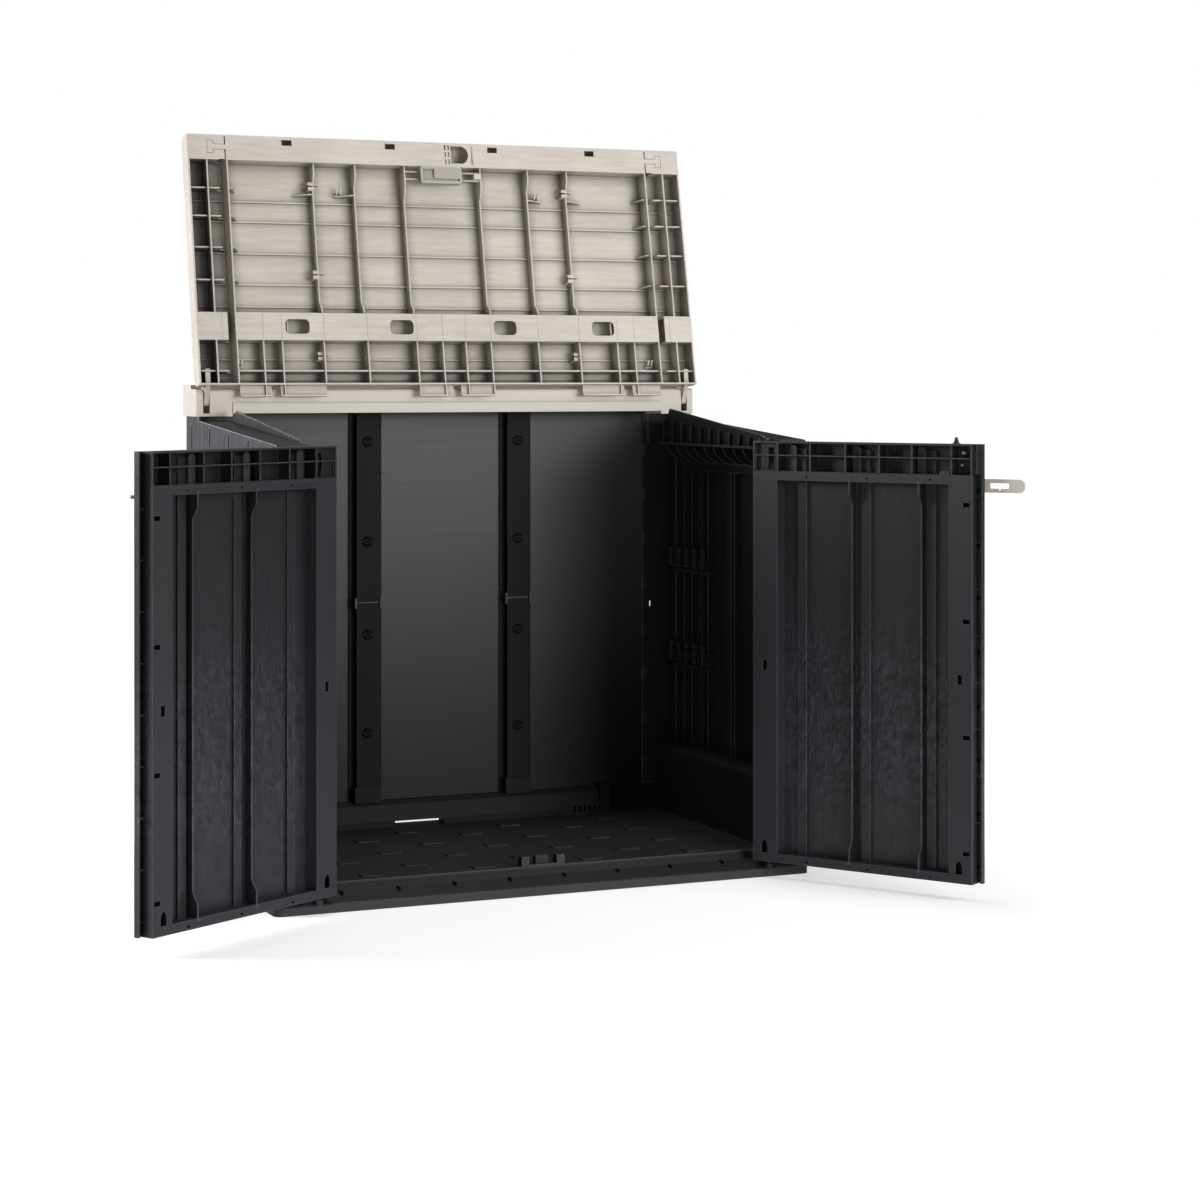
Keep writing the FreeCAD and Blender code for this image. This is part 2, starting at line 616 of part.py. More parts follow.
# Lid, drawn flat with its rim on z = 0, rear edge on y = 0 and the front towards -y

def lid_section(grow):
    """Outer profile in (y, z), drawn in by grow."""
    nose = LID_NOSE
    turn = nose * (1 - math.sqrt(0.5))
    front = -LID_L + grow
    top = LID_TOP_T - grow
    return [(-grow, -1 if grow else 0), (-grow, LID_REAR_T - grow * 0.6), (-18 - grow * 0.3, top),
            (front + nose, top), ((front + turn, top - turn), (front, top - nose)),
            (front, -1 if grow else 0)]


def lid_shell(x0, x1):
    return prism_x(lid_section(0), x0, x1).cut(prism_x(lid_section(LID_WALL), x0 - 1, x1 + 1))


def rib_x(x, y0, y1, low):
    """Rib that runs front to back at x, trimmed to the shell."""
    half = LID_RIB_T / 2
    return box(x - half, x + half, -y0, -y1, low, LID_TOP_T - 1)


def rib_y(s, x0, x1, low):
    half = LID_RIB_T / 2
    return box(x0, x1, -s - half, -s + half, low, LID_TOP_T - 1)


def trimmed(shapes, x0, x1):
    inside = prism_x(lid_section(0), x0, x1)
    return [s.common(inside) for s in shapes]


def deep_rib(x, y0, y1, flat0, flat1):
    """Rib that runs front to back at x: full height at its ends, curving down to a lower middle."""
    half = LID_RIB_T / 2
    root, high, low = LID_TOP_T - 1, 4.0, LID_RIB_LOW
    mid = (high + low) / 2
    a, b = -y0, -y1
    side = [(a, root), (a, high), (a - flat0, high), ((a - flat0 - 9, mid - 3), (a - flat0 - 18, low)),
            (b + flat1 + 30, low), ((b + flat1 + 15, mid - 3), (b + flat1, high)), (b, high), (b, root)]
    return prism_x(side, x - half, x + half)


def lid_panel():
    edge = LID_SEAM_X
    inner = edge - 3
    ribs = []
    band_s = LID_L - LID_FRONT_BAND
    w0, w1 = [part * LID_L for part in LID_WINDOW_BAND]
    for part in LID_RIBS:
        for side in (-1, 1):
            ribs.append(deep_rib(side * part * edge, w1, band_s, 10, 52 if part == LID_RIBS[0] else 24))
    for part in LID_REAR_RIBS:
        for side in (-1, 1):
            ribs.append(rib_x(side * part * edge, 2, w0, 4))
    for side in (-1, 1):
        ribs.append(rib_x(side * (inner - 2), 2, LID_L - 2, 0))
        for part in LID_CROSS:
            s = part * LID_L
            tip = [(side * inner, 7), (side * (inner - 13), 7), (side * (inner - 30), LID_TOP_T - 2),
                   (side * inner, LID_TOP_T - 2)]
            ribs.append(prism_y(tip, -s - LID_RIB_T / 2, -s + LID_RIB_T / 2))
    for part in LID_RIBS[1:]:
        x, s = part * edge, LID_SHORT_RIB * LID_L
        for side in (-1, 1):
            fin = [(side * x, LID_RIB_LOW), (side * (x + 12), LID_RIB_LOW),
                   (side * (x + 46), LID_TOP_T - 8),
                   (side * (x + 46), LID_TOP_T - 2), (side * x, LID_TOP_T - 2)]
            ribs.append(prism_y(fin, -s - 1.5, -s + 1.5))
    for part in LID_STEPS + LID_REAR_STEPS[1:]:
        ribs.append(rib_y(part * LID_L, -inner, inner, LID_TOP_T - LID_WALL - LID_STEP_H))
    ribs.append(rib_y(LID_REAR_STEPS[0] * LID_L, -inner, inner, 6))
    for s in (w0, w1, band_s):
        ribs.append(rib_y(s, -inner, inner, 0))
    for x in [part * edge for part in LID_WINDOWS]:
        for side in (-1, 1):
            ribs.append(box(side * x - 60, side * x + 60, -w0 - 3, -w1 + 3, 0, 14)
                        .cut(box(side * x - 57, side * x + 57, -w0, -w1, -1, 15)))
    parts = [lid_shell(-edge, edge)] + trimmed(ribs, -edge, edge)
    parts.append(box(-inner, inner, -band_s, -LID_L + 2, 0, LID_WALL))
    parts.append(box(-inner, inner, -w0, -w1, 0, LID_WALL))
    for x0, x1 in LID_TABS:
        for side in (-1, 1):
            parts += lid_flap(side, x0 * edge, x1 * edge)
    rib = LID_RIBS[0] * edge
    parts.append(box(rib - 18, rib, latch_y() - 7, latch_y() + 6, 0, 16))
    parts += [lid_tongue(side, 0) for side in (-1, 1)]
    body = fuse(parts)
    tools = []
    for x in [part * edge for part in LID_HOLES]:
        for side in (-1, 1):
            tools.append(box(side * x - 13, side * x + 13, -LID_L + 8, -LID_L + 22, -1, LID_WALL + 1))
            window = box(side * x - 30, side * x + 30, -w1 + 14, -w0 - 14, -1, LID_WALL + 1)
            upright = [e for e in window.Edges if abs(e.Vertexes[0].Z - e.Vertexes[1].Z) > 1]
            tools.append(window.makeFillet(11, upright))
    half = DHOLE_W / 2
    s0, s1 = band_s + 8, LID_L - 8
    tools.append(prism_z([(DHOLE_X - half, -s0), (DHOLE_X + half - 16, -s0),
                          ((DHOLE_X + half, -(s0 + s1) / 2),
                           (DHOLE_X + half - 16, -s1)), (DHOLE_X - half, -s1)],
                         -1, LID_WALL + 1))
    for x in (DHOLE_X - half - 6, DHOLE_X - half - 15):
        for i in range(3):
            s = s0 - 3 + i * 18
            tools.append(box(x - 2, x + 2, -s, -s - 13, -1, LID_WALL + 1))
    return cut(body, tools)


def lid_flap(side, x0, x1):
    """Shallow ribbed flap behind the rear edge, which hangs before the beam when the lid stands open."""
    deep, reach, t = LID_FLAP_DEPTH, LID_FLAP, LID_RIB_T
    parts = [box(side * x0, side * x1, -2, reach, deep - 3, deep),
             box(side * x0, side * x1, reach - t, reach, 2, deep)]
    for part in LID_REAR_RIBS:
        x = part * LID_SEAM_X
        if x0 < x < x1:
            parts.append(box(side * (x - t / 2), side * (x + t / 2), -2, reach, 2, deep))
    return parts


def lid_tongue(side, room):
    """T-shaped tongue of the panel's front band, let into the cheek at the seam."""
    s = LID_L - 30
    x = LID_SEAM_X
    neck = box(side * (x - 6), side * (x + 30), -s - 6 - room, -s + 6 + room, -room, LID_WALL + room)
    head = box(side * (x + 28 - room), side * (x + 42 + room), -s - 15 - room, -s + 15 + room, -room,
               LID_WALL + room)
    return neck.fuse(head)


def lid_cheek():
    """Right cheek of the lid: side wall, cells, the channel over the upstand, and the hinge arm."""
    x0, x1 = LID_SEAM_X, LID_W / 2
    mid = x1 - LID_CHEEK_CELL
    channel = LID_CHANNEL_X
    band_s = LID_L - LID_FRONT_BAND
    w0, w1 = [part * LID_L for part in LID_WINDOW_BAND]
    ribs = [rib_x(mid, 2, band_s, 0)]
    for s in [part * LID_L for part in LID_CROSS] + [LID_REAR_STEPS[0] * LID_L, w0, w1, band_s]:
        low = 0 if s in (w0, w1, band_s) else 7
        ribs.append(rib_y(s, channel, x1 - 1, low))
        ribs.append(rib_y(s, x0, channel + 1, LID_TOP_T - 14))
    for part in LID_STEPS + LID_REAR_STEPS[1:]:
        ribs.append(rib_y(part * LID_L, x0, x1 - 1, LID_TOP_T - LID_WALL - LID_STEP_H))
    parts = [lid_shell(x0, x1)] + trimmed(ribs, x0, x1)
    parts.append(prism_x(lid_section(0), x1 - LID_WALL, x1))
    parts.append(box(x0, x1 - 1, -band_s, -LID_L + 2, 0, LID_WALL))
    parts.append(box(channel, x1 - 1, -w0, -w1, 0, LID_WALL))
    parts.append(lid_arm())
    body = fuse(parts)
    py, pz = lid_local(LID_PIVOT_Y, LID_PIVOT_Z)
    bore = cylinder(V(LID_ARM_X - 1, py, pz), X_AXIS, LID_PIN_R + RUN, LID_ARM_T + 2)
    return cut(body, [bore, lid_tongue(1, 1.0)])


def lid_local(y, z):
    """A point of the shut lid, in the flat drawing frame."""
    dy, dz = y - LID_REAR_Y, z - LID_REAR_Z
    c, s = math.cos(SLOPE), math.sin(SLOPE)
    return dy * c + dz * s, -dy * s + dz * c


def lid_arm():
    """Hinge arm from the cheek's inner wall back to the pin."""
    py, pz = lid_local(LID_PIVOT_Y, LID_PIVOT_Z)
    r = 11.0
    x0, x1 = LID_ARM_X, LID_ARM_X + LID_ARM_T
    eye = cylinder(V(x0, py, pz), X_AXIS, r, LID_ARM_T)
    arm = prism_x([(-40, 8), (-40, LID_TOP_T - 2), (-22, LID_TOP_T - 2), (py - 4, pz + r - 1),
                   (py + 2, pz - r + 0.4),
                   (-1, 10)], x0, x1)
    return eye.fuse(arm)


def latch_y():
    """Middle of the latch, in the flat drawing frame."""
    return -(LID_L - LID_FRONT_BAND - LATCH_BACK)


def lid_latch_housing():
    """Tray beside the front band, hung on two pairs of bars between the ribs; its floor is slotted."""
    y = latch_y()
    half, long, w = LATCH_W / 2, LATCH_L / 2, LATCH_WALL
    z0, z1 = -LATCH_PROUD, LATCH_DEPTH - LATCH_PROUD
    tray = box(LATCH_X - half, LATCH_X + half, y - long, y + long, z0, z1)
    edges = [e for e in tray.Edges if abs(e.Vertexes[0].Z - e.Vertexes[1].Z) > 1]
    tray = tray.makeFillet(6, edges)
    rib = LID_RIBS[0] * LID_SEAM_X - LID_RIB_T / 2
    bars = []
    for side in (-1, 1):
        for offset in (-10.0, 9.0):
            bars.append(box(LATCH_X + side * (half - 1), side * rib, y + offset - 2, y + offset + 2, 6, 10))
    floor = z0 + LATCH_RECESS
    mid = catch_x()
    rim = LATCH_RIM
    tools = [box(LATCH_X - half + rim, LATCH_X + half - rim, y - long + rim, y + long - rim, z0 - 1, floor),
             box(LATCH_X - half + w, LATCH_X + half - w, y - long + w, y + long - w, floor + w, z1 + 1),
             box(mid - CATCH_STEM / 2 - CATCH_TRAVEL - 1, mid + CATCH_STEM / 2 + 1,
                 y - CATCH_STEM / 4 - SEAT, y + CATCH_STEM / 4 + SEAT, floor - 1, floor + w + 1)]
    return cut(fuse([tray] + bars), tools)


def catch_x():
    """Middle of the catch at rest, at the right-hand end of the tray."""
    return LATCH_X + LATCH_W / 2 - LATCH_RIM - 1 - CATCH_W / 2


def lid_latch_catch():
    """Sliding pad in the tray, with a stem through the slot and a plate behind it."""
    y = latch_y()
    x = catch_x()
    floor = -LATCH_PROUD + LATCH_RECESS
    y0 = y - LATCH_L / 2 + LATCH_RIM + 1
    pad = box(x - CATCH_W / 2, x + CATCH_W / 2, y0, y0 + CATCH_L, -LATCH_PROUD - 1.5, floor - SEAT)
    pad = pad.makeFillet(3, [e for e in pad.Edges if abs(e.Vertexes[0].Z - e.Vertexes[1].Z) > 1])
    stem = box(x - CATCH_STEM / 2, x + CATCH_STEM / 2, y - CATCH_STEM / 4, y + CATCH_STEM / 4,
               floor - 1, floor + LATCH_WALL + SEAT + 1)
    back = floor + LATCH_WALL + SEAT
    plate = box(x - CATCH_STEM, x + CATCH_STEM, y - CATCH_STEM / 2, y + CATCH_STEM / 2, back, back + 3)
    return fuse([pad, stem, plate])


def place_lid(shape):
    """Tilt the flat drawing to the shut pose, then swing it open about the pin."""
    shut = shape.copy()
    shut.rotate(ORIGIN, X_AXIS, LID_SLOPE)
    shut.translate(V(0, LID_REAR_Y, LID_REAR_Z))
    return moved(shut, -LID_OPEN, X_AXIS, V(0, LID_PIVOT_Y, LID_PIVOT_Z))


# Doors, drawn shut on the left. s runs from the hinge edge, n from the inner face outwards.

def door_box(s0, s1, n0, n1, z0, z1):
    x = -DOOR_PIVOT_X - DOOR_PIVOT_S
    y = DOOR_PIVOT_Y + DOOR_PIVOT_N
    return box(x + s0, x + s1, y - n0, y - n1, z0, z1)


def door_point(s, n, z):
    return V(-DOOR_PIVOT_X - DOOR_PIVOT_S + s, DOOR_PIVOT_Y + DOOR_PIVOT_N - n, z)


def door_rib(s):
    """Deep rib behind the plank, whose ends flare out in a curve to the frame."""
    z0, z1 = DOOR_Z + DOOR_RAIL - 2, HEADER_Z - DOOR_TOP_RAIL + 2
    root = DOOR_T - DOOR_SKIN + 1
    y = door_point(s, 0, 0).y
    flare, deep, shallow = 54.0, 2.0, 16.0
    side = [(y - root, z0), (y - deep, z0), (y - deep, z0 + 30),
            ((y - (deep + shallow) / 2 - 2, z0 + 44), (y - shallow, z0 + flare)),
            (y - shallow, z1 - flare), ((y - (deep + shallow) / 2 - 2, z1 - 44), (y - deep, z1 - 30)),
            (y - deep, z1), (y - root, z1)]
    x = door_point(s, 0, 0).x
    return prism_x(side, x - 2, x + 2)


def door_panel():
    """Outer plank panel with edge walls, header grid, ribs and ridges."""
    skin_n = DOOR_T - DOOR_SKIN
    z0, z1 = DOOR_Z, DOOR_TOP
    step = DOOR_W - DOOR_STEP
    wall_n = DOOR_FRAME_T + SEAT
    parts = [door_box(0, DOOR_W, skin_n, DOOR_T, z0, z1)]
    parts.append(door_box(0, DOOR_WALL, wall_n, skin_n + 1, z0, z1))
    parts.append(door_box(step - DOOR_WALL, step, wall_n, skin_n + 1, z0, z1))
    parts.append(door_box(DOOR_W - DOOR_WALL, DOOR_W, skin_n - 9, skin_n + 1, z0, z1))
    parts.append(door_box(0, step, wall_n, skin_n + 1, z0, z0 + DOOR_WALL))
    for z in steps(z0 + 30, HEADER_Z - 20, 103):
        parts.append(door_box(step - 1, DOOR_W - 1, skin_n - 9, skin_n + 1, z, z + 3))
    # Header grid: three long ribs and a rib between the cells
    mid = (HEADER_Z + DOOR_TOP) / 2
    for z, t in ((HEADER_Z + 2, 4), (mid + 4, 3), (z1 - 2, 4)):
        parts.append(door_box(0, step, 0, skin_n + 1, z - t / 2, z + t / 2))
    for s in [part * DOOR_W for part in DOOR_CELLS] + [1.75, step - 1.75]:
        parts.append(door_box(s - 1.75, s + 1.75, 0, skin_n + 1, HEADER_Z, z1))
    parts += [door_rib(part * DOOR_W) for part in DOOR_RIBS]
    for s in [part * DOOR_W for part in DOOR_GROOVES]:
        parts.append(door_box(s - DOOR_RIDGE_W / 2, s + DOOR_RIDGE_W / 2, skin_n - DOOR_RIDGE_H,
                              skin_n + 1, z0 + 2, z1 - 16))
    # Bosses that hold the pivot pins
    at = door_point(DOOR_PIVOT_S, DOOR_PIVOT_N, 0)
    parts.append(cylinder(V(at.x, at.y, z0), Z_AXIS, 9.0, 34))
    parts.append(cylinder(V(at.x, at.y, HEADER_Z - 22), Z_AXIS, 9.0, 24))
    parts.append(door_box(0, DOOR_CELLS[0] * DOOR_W, 10, DOOR_T, z1 - 9, z1))
    parts.append(door_box(0, DOOR_CELLS[0] * DOOR_W, 10, 13, HEADER_Z, z1))
    body = fuse(parts)
    tools = [door_box(-1, DOOR_CELLS[0] * DOOR_W - 1.75, 13, DOOR_T + 1, HEADER_Z + 4, z1 - 9),
             door_box(DOOR_PIVOT_S + 10, DOOR_PIVOT_S + 26, 9, 14, HEADER_Z + 6, z1 - 14)]
    for s in [part * DOOR_W for part in DOOR_HOLES]:
        tools.append(door_box(s - 6, s + 6, 8, DOOR_T + 1, z0 - 1, z0 + 8))
    for s in [part * DOOR_W for part in DOOR_GROOVES]:
        a = door_point(s - GROOVE_W / 2, DOOR_T + 1, 0)
        b = door_point(s + GROOVE_W / 2, DOOR_T + 1, 0)
        c = door_point(s, DOOR_T - GROOVE_D, 0)
        tools.append(prism_z([(a.x, a.y), (b.x, b.y), (c.x, c.y)], z0 - 1, z1 + 1))
    tools.append(cylinder(V(at.x, at.y, z0 - 1), Z_AXIS, DOOR_PIN_R, 32))
    tools.append(cylinder(V(at.x, at.y, HEADER_Z - 16), Z_AXIS, DOOR_PIN_R, DOOR_HEADER + 12))
    return cut(body, tools)


def door_frame():
    """Inner frame: a ring of stiles and rails with return walls round the opening."""
    step = DOOR_W - DOOR_STEP
    z0, z1 = DOOR_Z, HEADER_Z - SEAT
    s0, s1 = DOOR_STILE, step - DOOR_STILE + 8
    o0, o1 = z0 + DOOR_RAIL, z1 - DOOR_TOP_RAIL
    skin_n = DOOR_T - DOOR_SKIN - SEAT
    mid = DOOR_Z + DOOR_H * 0.465
    ring = door_box(0, step, 0, DOOR_FRAME_T, z0, z1)
    returns = door_box(s0 - DOOR_WALL, s1 + DOOR_WALL, 0, skin_n, o0 - DOOR_WALL, o1 + DOOR_WALL)
    body = ring.fuse(returns)
    tools = [door_box(s0, s1, -1, DOOR_T, o0, o1)]
    for z in [DOOR_Z + part * DOOR_H for part in DOOR_SLOTS]:
        tools.append(door_box(step - 23, step - 5, -1, DOOR_FRAME_T + 1, z - 5, z + 5))
    tools.append(door_box(step - 36, step - 24, -1, DOOR_FRAME_T + 1, mid - 12, mid + 10))
    tools.append(door_box(25, 36, -1, DOOR_FRAME_T + 1, mid - 9, mid + 13))
    for s in (30.0, step - 32):
        a = door_point(s - 9, -1, DOOR_Z + 20)
        arch = [(a.x, a.z), (a.x, a.z + 14), ((a.x + 2.8, a.z + 24), (a.x + 9, a.z + 30)),
                ((a.x + 15.2, a.z + 24), (a.x + 18, a.z + 14)), (a.x + 18, a.z)]
        tools.append(prism_y(arch, a.y, a.y - DOOR_FRAME_T - 2))
    for s in [part * DOOR_W for part in DOOR_HOLES]:
        tools.append(door_box(s - 5, s + 5, -1, DOOR_FRAME_T + 1, DOOR_Z + 5, DOOR_Z + 10))
        p = door_point(s, -1, z1 - 8)
        tools.append(cylinder(p, V(0, -1, 0), 3, DOOR_FRAME_T + 2))
    # Room for the panel's bosses, ribs and edge wall
    for s in [part * DOOR_W for part in DOOR_GROOVES]:
        half = DOOR_RIDGE_W / 2 + SEAT
        tools.append(door_box(s - half, s + half, DOOR_T - DOOR_SKIN - DOOR_RIDGE_H - SEAT, DOOR_T,
                              z0 - 1, z1 + 1))
    for s in [part * DOOR_W for part in DOOR_RIBS]:
        tools.append(door_box(s - 2 - SEAT, s + 2 + SEAT, 1, DOOR_T, o0 - 6, o1 + 6))
    return cut(body, tools)


def door_pins():
    """Bottom pivot into the base and top pivot through the column's arm."""
    at = door_point(DOOR_PIVOT_S, DOOR_PIVOT_N, 0)
    low = cylinder(V(at.x, at.y, 8), Z_AXIS, DOOR_PIN_R, DOOR_Z + 22)
    top = cylinder(V(at.x, at.y, HEADER_Z - 14), Z_AXIS, DOOR_PIN_R, DOOR_HEADER + 9)
    return Part.makeCompound([low, top])


def door_peg():
    """Pointed peg on the door's top edge, which the shut lid's round hole drops over."""
    p = door_point(PEG_S, DOOR_T / 2, DOOR_TOP)
    cone = Part.makeCone(7, 2.5, PEG_H, p)
    foot = cylinder(p, Z_AXIS, 9, 2)
    return cone.fuse(foot).removeSplitter()


def door_end_cap():
    """Cover over the step at the free end of the header."""
    step = DOOR_W - DOOR_STEP
    skin_n = DOOR_T - DOOR_SKIN
    cap = door_box(step, DOOR_W - DOOR_WALL, 6, skin_n - 9, HEADER_Z + 6, DOOR_TOP)
    p = door_point(step + 4.5, 5, DOOR_TOP - 8)
    return cut(cap, [cylinder(p, V(0, -1, 0), 2.5, DOOR_T)])


def swing(shape, side):
    """Left door (-1) or right door (1) from its drawn pose to its open rest pose."""
    centre = V(side * DOOR_PIVOT_X, DOOR_PIVOT_Y, 0)
    if side < 0:
        return moved(shape, -DOOR_OPEN_LEFT, Z_AXIS, centre)
    return moved(mirrored(shape), DOOR_OPEN_RIGHT, Z_AXIS, centre)


# Hasp, drawn like the doors

def hasp_pivot():
    return DOOR_W - HASP_PIVOT_BACK, DOOR_T + 6.6


def hasp_bracket():
    """Plate on the door's outer face with two knuckles for the strap's pin."""
    s, n = hasp_pivot()
    half = HASP_H / 2 + 8
    plate = door_box(s - 46, s + 6, DOOR_T, DOOR_T + 2, HASP_Z - half, HASP_Z + half)
    parts = [plate]
    for z in (HASP_Z - half, HASP_Z + HASP_H / 2 + SEAT):
        parts.append(cylinder(door_point(s, n, z), Z_AXIS, 4.0, 8 - SEAT))
        parts.append(door_box(s - 4, s + 4, DOOR_T, n, z, z + 8 - SEAT))
    tools = [cylinder(door_point(s, n, HASP_Z - half - 1), Z_AXIS, HASP_PIN_R, 2 * half + 2)]
    for z in (HASP_Z - 12, HASP_Z + 12):
        tools.append(cylinder(door_point(s - 32, DOOR_T - 1, z), V(0, -1, 0), SCREW_R, 4))
    return cut(fuse(parts), tools)


def hasp_strap():
    """Tongue with a round end and a slot, on a rolled eye."""
    s, n = hasp_pivot()
    end = DOOR_W + HASP_REACH
    half = HASP_H / 2
    n0 = n - HASP_T / 2
    start = s + 2
    a = door_point(start, n0, 0)
    x0, x1 = a.x, door_point(end, n0, 0).x
    profile = [(x0, HASP_Z - half), (x1 - half, HASP_Z - half),
               ((x1, HASP_Z), (x1 - half, HASP_Z + half)), (x0, HASP_Z + half)]
    tongue = prism_y(profile, a.y, a.y - HASP_T)
    eye = cylinder(door_point(s, n, HASP_Z - half), Z_AXIS, 4.0, HASP_H)
    slot0 = DOOR_W + HASP_SLOT_START
    mid = slot0 + HASP_SLOT_L / 2
    tools = [door_box(slot0, slot0 + HASP_SLOT_L, n0 - 1, n0 + HASP_T + 1, HASP_Z - HASP_SLOT_H / 2,
                      HASP_Z + HASP_SLOT_H / 2),
             door_box(mid - 3, mid + 3, n0 - 1, n0 + HASP_T + 1, HASP_Z - HASP_SLOT_H / 2 - 4, HASP_Z),
             cylinder(door_point(s, n, HASP_Z - half - 1), Z_AXIS, HASP_PIN_R + RUN, HASP_H + 2)]
    return cut(fuse([tongue, eye]), tools)


def hasp_pin():
    s, n = hasp_pivot()
    half = HASP_H / 2 + 8
    return cylinder(door_point(s, n, HASP_Z - half), Z_AXIS, HASP_PIN_R, 2 * half)


def hasp_screws():
    s, n = hasp_pivot()
    heads = []
    for z in (HASP_Z - 12, HASP_Z + 12):
        heads.append(cylinder(door_point(s - 32, DOOR_T + 2, z), V(0, -1, 0), 4.5, 2.2))
        shank = cylinder(door_point(s - 32, DOOR_T, z), V(0, -1, 0), SCREW_R, 3)
        heads[-1] = heads[-1].fuse(shank).removeSplitter()
    return Part.makeCompound(heads)


def hasp_staple():
    """Loop on the other door's outer face that stands in the strap's slot when both doors are shut."""
    slot_mid = HASP_SLOT_START + HASP_SLOT_L / 2
    gap = 2 * (DOOR_PIVOT_X + DOOR_PIVOT_S - DOOR_W)
    s = DOOR_W + gap - slot_mid
    plate_half = 19.0
    plate = door_box(s - plate_half, s + plate_half, DOOR_T, DOOR_T + 2, HASP_Z - 4.5, HASP_Z + 4.5)
    loop = door_box(s - 18, s + 18, DOOR_T + 1, DOOR_T + 22, HASP_Z - 3.5, HASP_Z + 3.5)
    hole = cylinder(door_point(s, DOOR_T + 14, HASP_Z - 6), Z_AXIS, 5.0, 12)
    return cut(fuse([plate, loop]), [hole])


# Fasteners

def post_screws():
    """Pan-head screws with a cross recess, two rows of four."""
    screws = []
    for x in (-POST_X, POST_X):
        for z in POST_SCREW_Z:
            head = cylinder(V(x, POST_Y0 - 4, z), V(0, 1, 0), SCREW_HEAD_R, 4)
            rim = [e for e in head.Edges if abs(e.CenterOfMass.y - (POST_Y0 - 4)) < 0.1 and len(e.Vertexes) == 1]
            head = head.makeFillet(2.0, rim)
            shank = cylinder(V(x, POST_Y0, z), V(0, 1, 0), SCREW_R, POST_WALL + 8)
            cross = [box(x - 8, x + 8, POST_Y0 - 5, POST_Y0 - 2, z - 1.6, z + 1.6),
                     box(x - 1.6, x + 1.6, POST_Y0 - 5, POST_Y0 - 2, z - 8, z + 8)]
            screws.append(cut(head.fuse(shank), cross))
    return Part.makeCompound(screws)


def build():
    nodes = {"base_floor": base_floor()}
    panel = side_panel()
    nodes["side_panel_right"] = panel
    nodes["side_panel_left"] = mirrored(panel)
    for name, (x0, x1) in sheet_edges().items():
        nodes[name] = back_sheet(x0, x1)
    halves = {"lower": back_post(RAIL_TOP, POST_SPLIT_Z), "upper": back_post(POST_SPLIT_Z, BEAM_Z + 11)}
    for side, x in (("left", -POST_X), ("right", POST_X)):
        for half, shape in halves.items():
            nodes["back_post_%s_%s" % (side, half)] = shape.translated(V(x, 0, 0))
    nodes["back_bottom_rail"] = back_bottom_rail()
    nodes["rear_beam"] = rear_beam()
    cap = beam_cap()
    nodes["beam_end_cap_right"] = cap
    nodes["beam_end_cap_left"] = mirrored(cap)
    nodes["lid_hinge_pins"] = lid_pins()
    nodes["post_screws"] = post_screws()
    cheek = lid_cheek()
    lid = {"lid_panel": lid_panel(), "lid_cheek_right": cheek, "lid_cheek_left": mirrored(cheek),
           "lid_latch_housing": lid_latch_housing(), "lid_latch_catch": lid_latch_catch()}
    for name, shape in lid.items():
        nodes[name] = place_lid(shape)
    panel, frame, pins = door_panel(), door_frame(), door_pins()
    for name, side in (("left", -1), ("right", 1)):
        nodes["door_%s_panel" % name] = swing(panel, side)
        nodes["door_%s_frame" % name] = swing(frame, side)
        nodes["door_%s_pins" % name] = swing(pins, side)
    nodes["door_right_peg"] = swing(door_peg(), 1)
    nodes["door_right_end_cap"] = swing(door_end_cap(), 1)
    nodes["hasp_bracket"] = swing(hasp_bracket(), 1)
    nodes["hasp_strap"] = swing(hasp_strap(), 1)
    nodes["hasp_pin"] = swing(hasp_pin(), 1)
    nodes["hasp_screws"] = swing(hasp_screws(), 1)
    nodes["hasp_staple"] = swing(hasp_staple(), -1)
    return nodes


def main():
    os.makedirs("parts", exist_ok=True)
    for name, shape in build().items():
        solids = len(shape.Solids)
        print(name, "solids", solids, "valid", shape.isValid(), "faces", len(shape.Faces))
        shape.exportStep("parts/%s.step" % name)


main()
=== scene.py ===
"""Garden storage box, dressed: moulded resin materials, small mouldings, studio floor, light and camera."""
import math
import bpy
import numpy as np
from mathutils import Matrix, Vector


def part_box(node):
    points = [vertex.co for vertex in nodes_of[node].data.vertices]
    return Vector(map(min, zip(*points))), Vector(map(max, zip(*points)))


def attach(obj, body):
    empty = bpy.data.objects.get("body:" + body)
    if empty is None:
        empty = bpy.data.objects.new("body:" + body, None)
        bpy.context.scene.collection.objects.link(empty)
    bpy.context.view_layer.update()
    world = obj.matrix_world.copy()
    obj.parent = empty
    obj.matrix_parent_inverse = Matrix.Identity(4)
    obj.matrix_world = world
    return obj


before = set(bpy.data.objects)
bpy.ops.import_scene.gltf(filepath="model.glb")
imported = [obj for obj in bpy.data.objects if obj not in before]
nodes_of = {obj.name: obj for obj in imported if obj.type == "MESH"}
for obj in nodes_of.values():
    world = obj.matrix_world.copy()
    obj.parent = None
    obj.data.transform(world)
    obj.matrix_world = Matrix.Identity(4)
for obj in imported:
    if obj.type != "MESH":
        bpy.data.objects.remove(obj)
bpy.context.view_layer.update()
scene = bpy.context.scene


# Node helpers

def put(tree, kind, **values):
    """Adds a node; a value goes to the node's property of that name, or else to its input socket."""
    node = tree.nodes.new(kind)
    for name, value in values.items():
        if hasattr(node, name):
            setattr(node, name, value)
        else:
            node.inputs[name.replace("_", " ")].default_value = value
    return node


def wire(tree, a, b):
    """Links output a to input b."""
    tree.links.new(a, b)


def feed(tree, value, socket):
    """Sets an input to a number, or links an output to it."""
    if isinstance(value, (int, float)):
        socket.default_value = value
    else:
        wire(tree, value, socket)


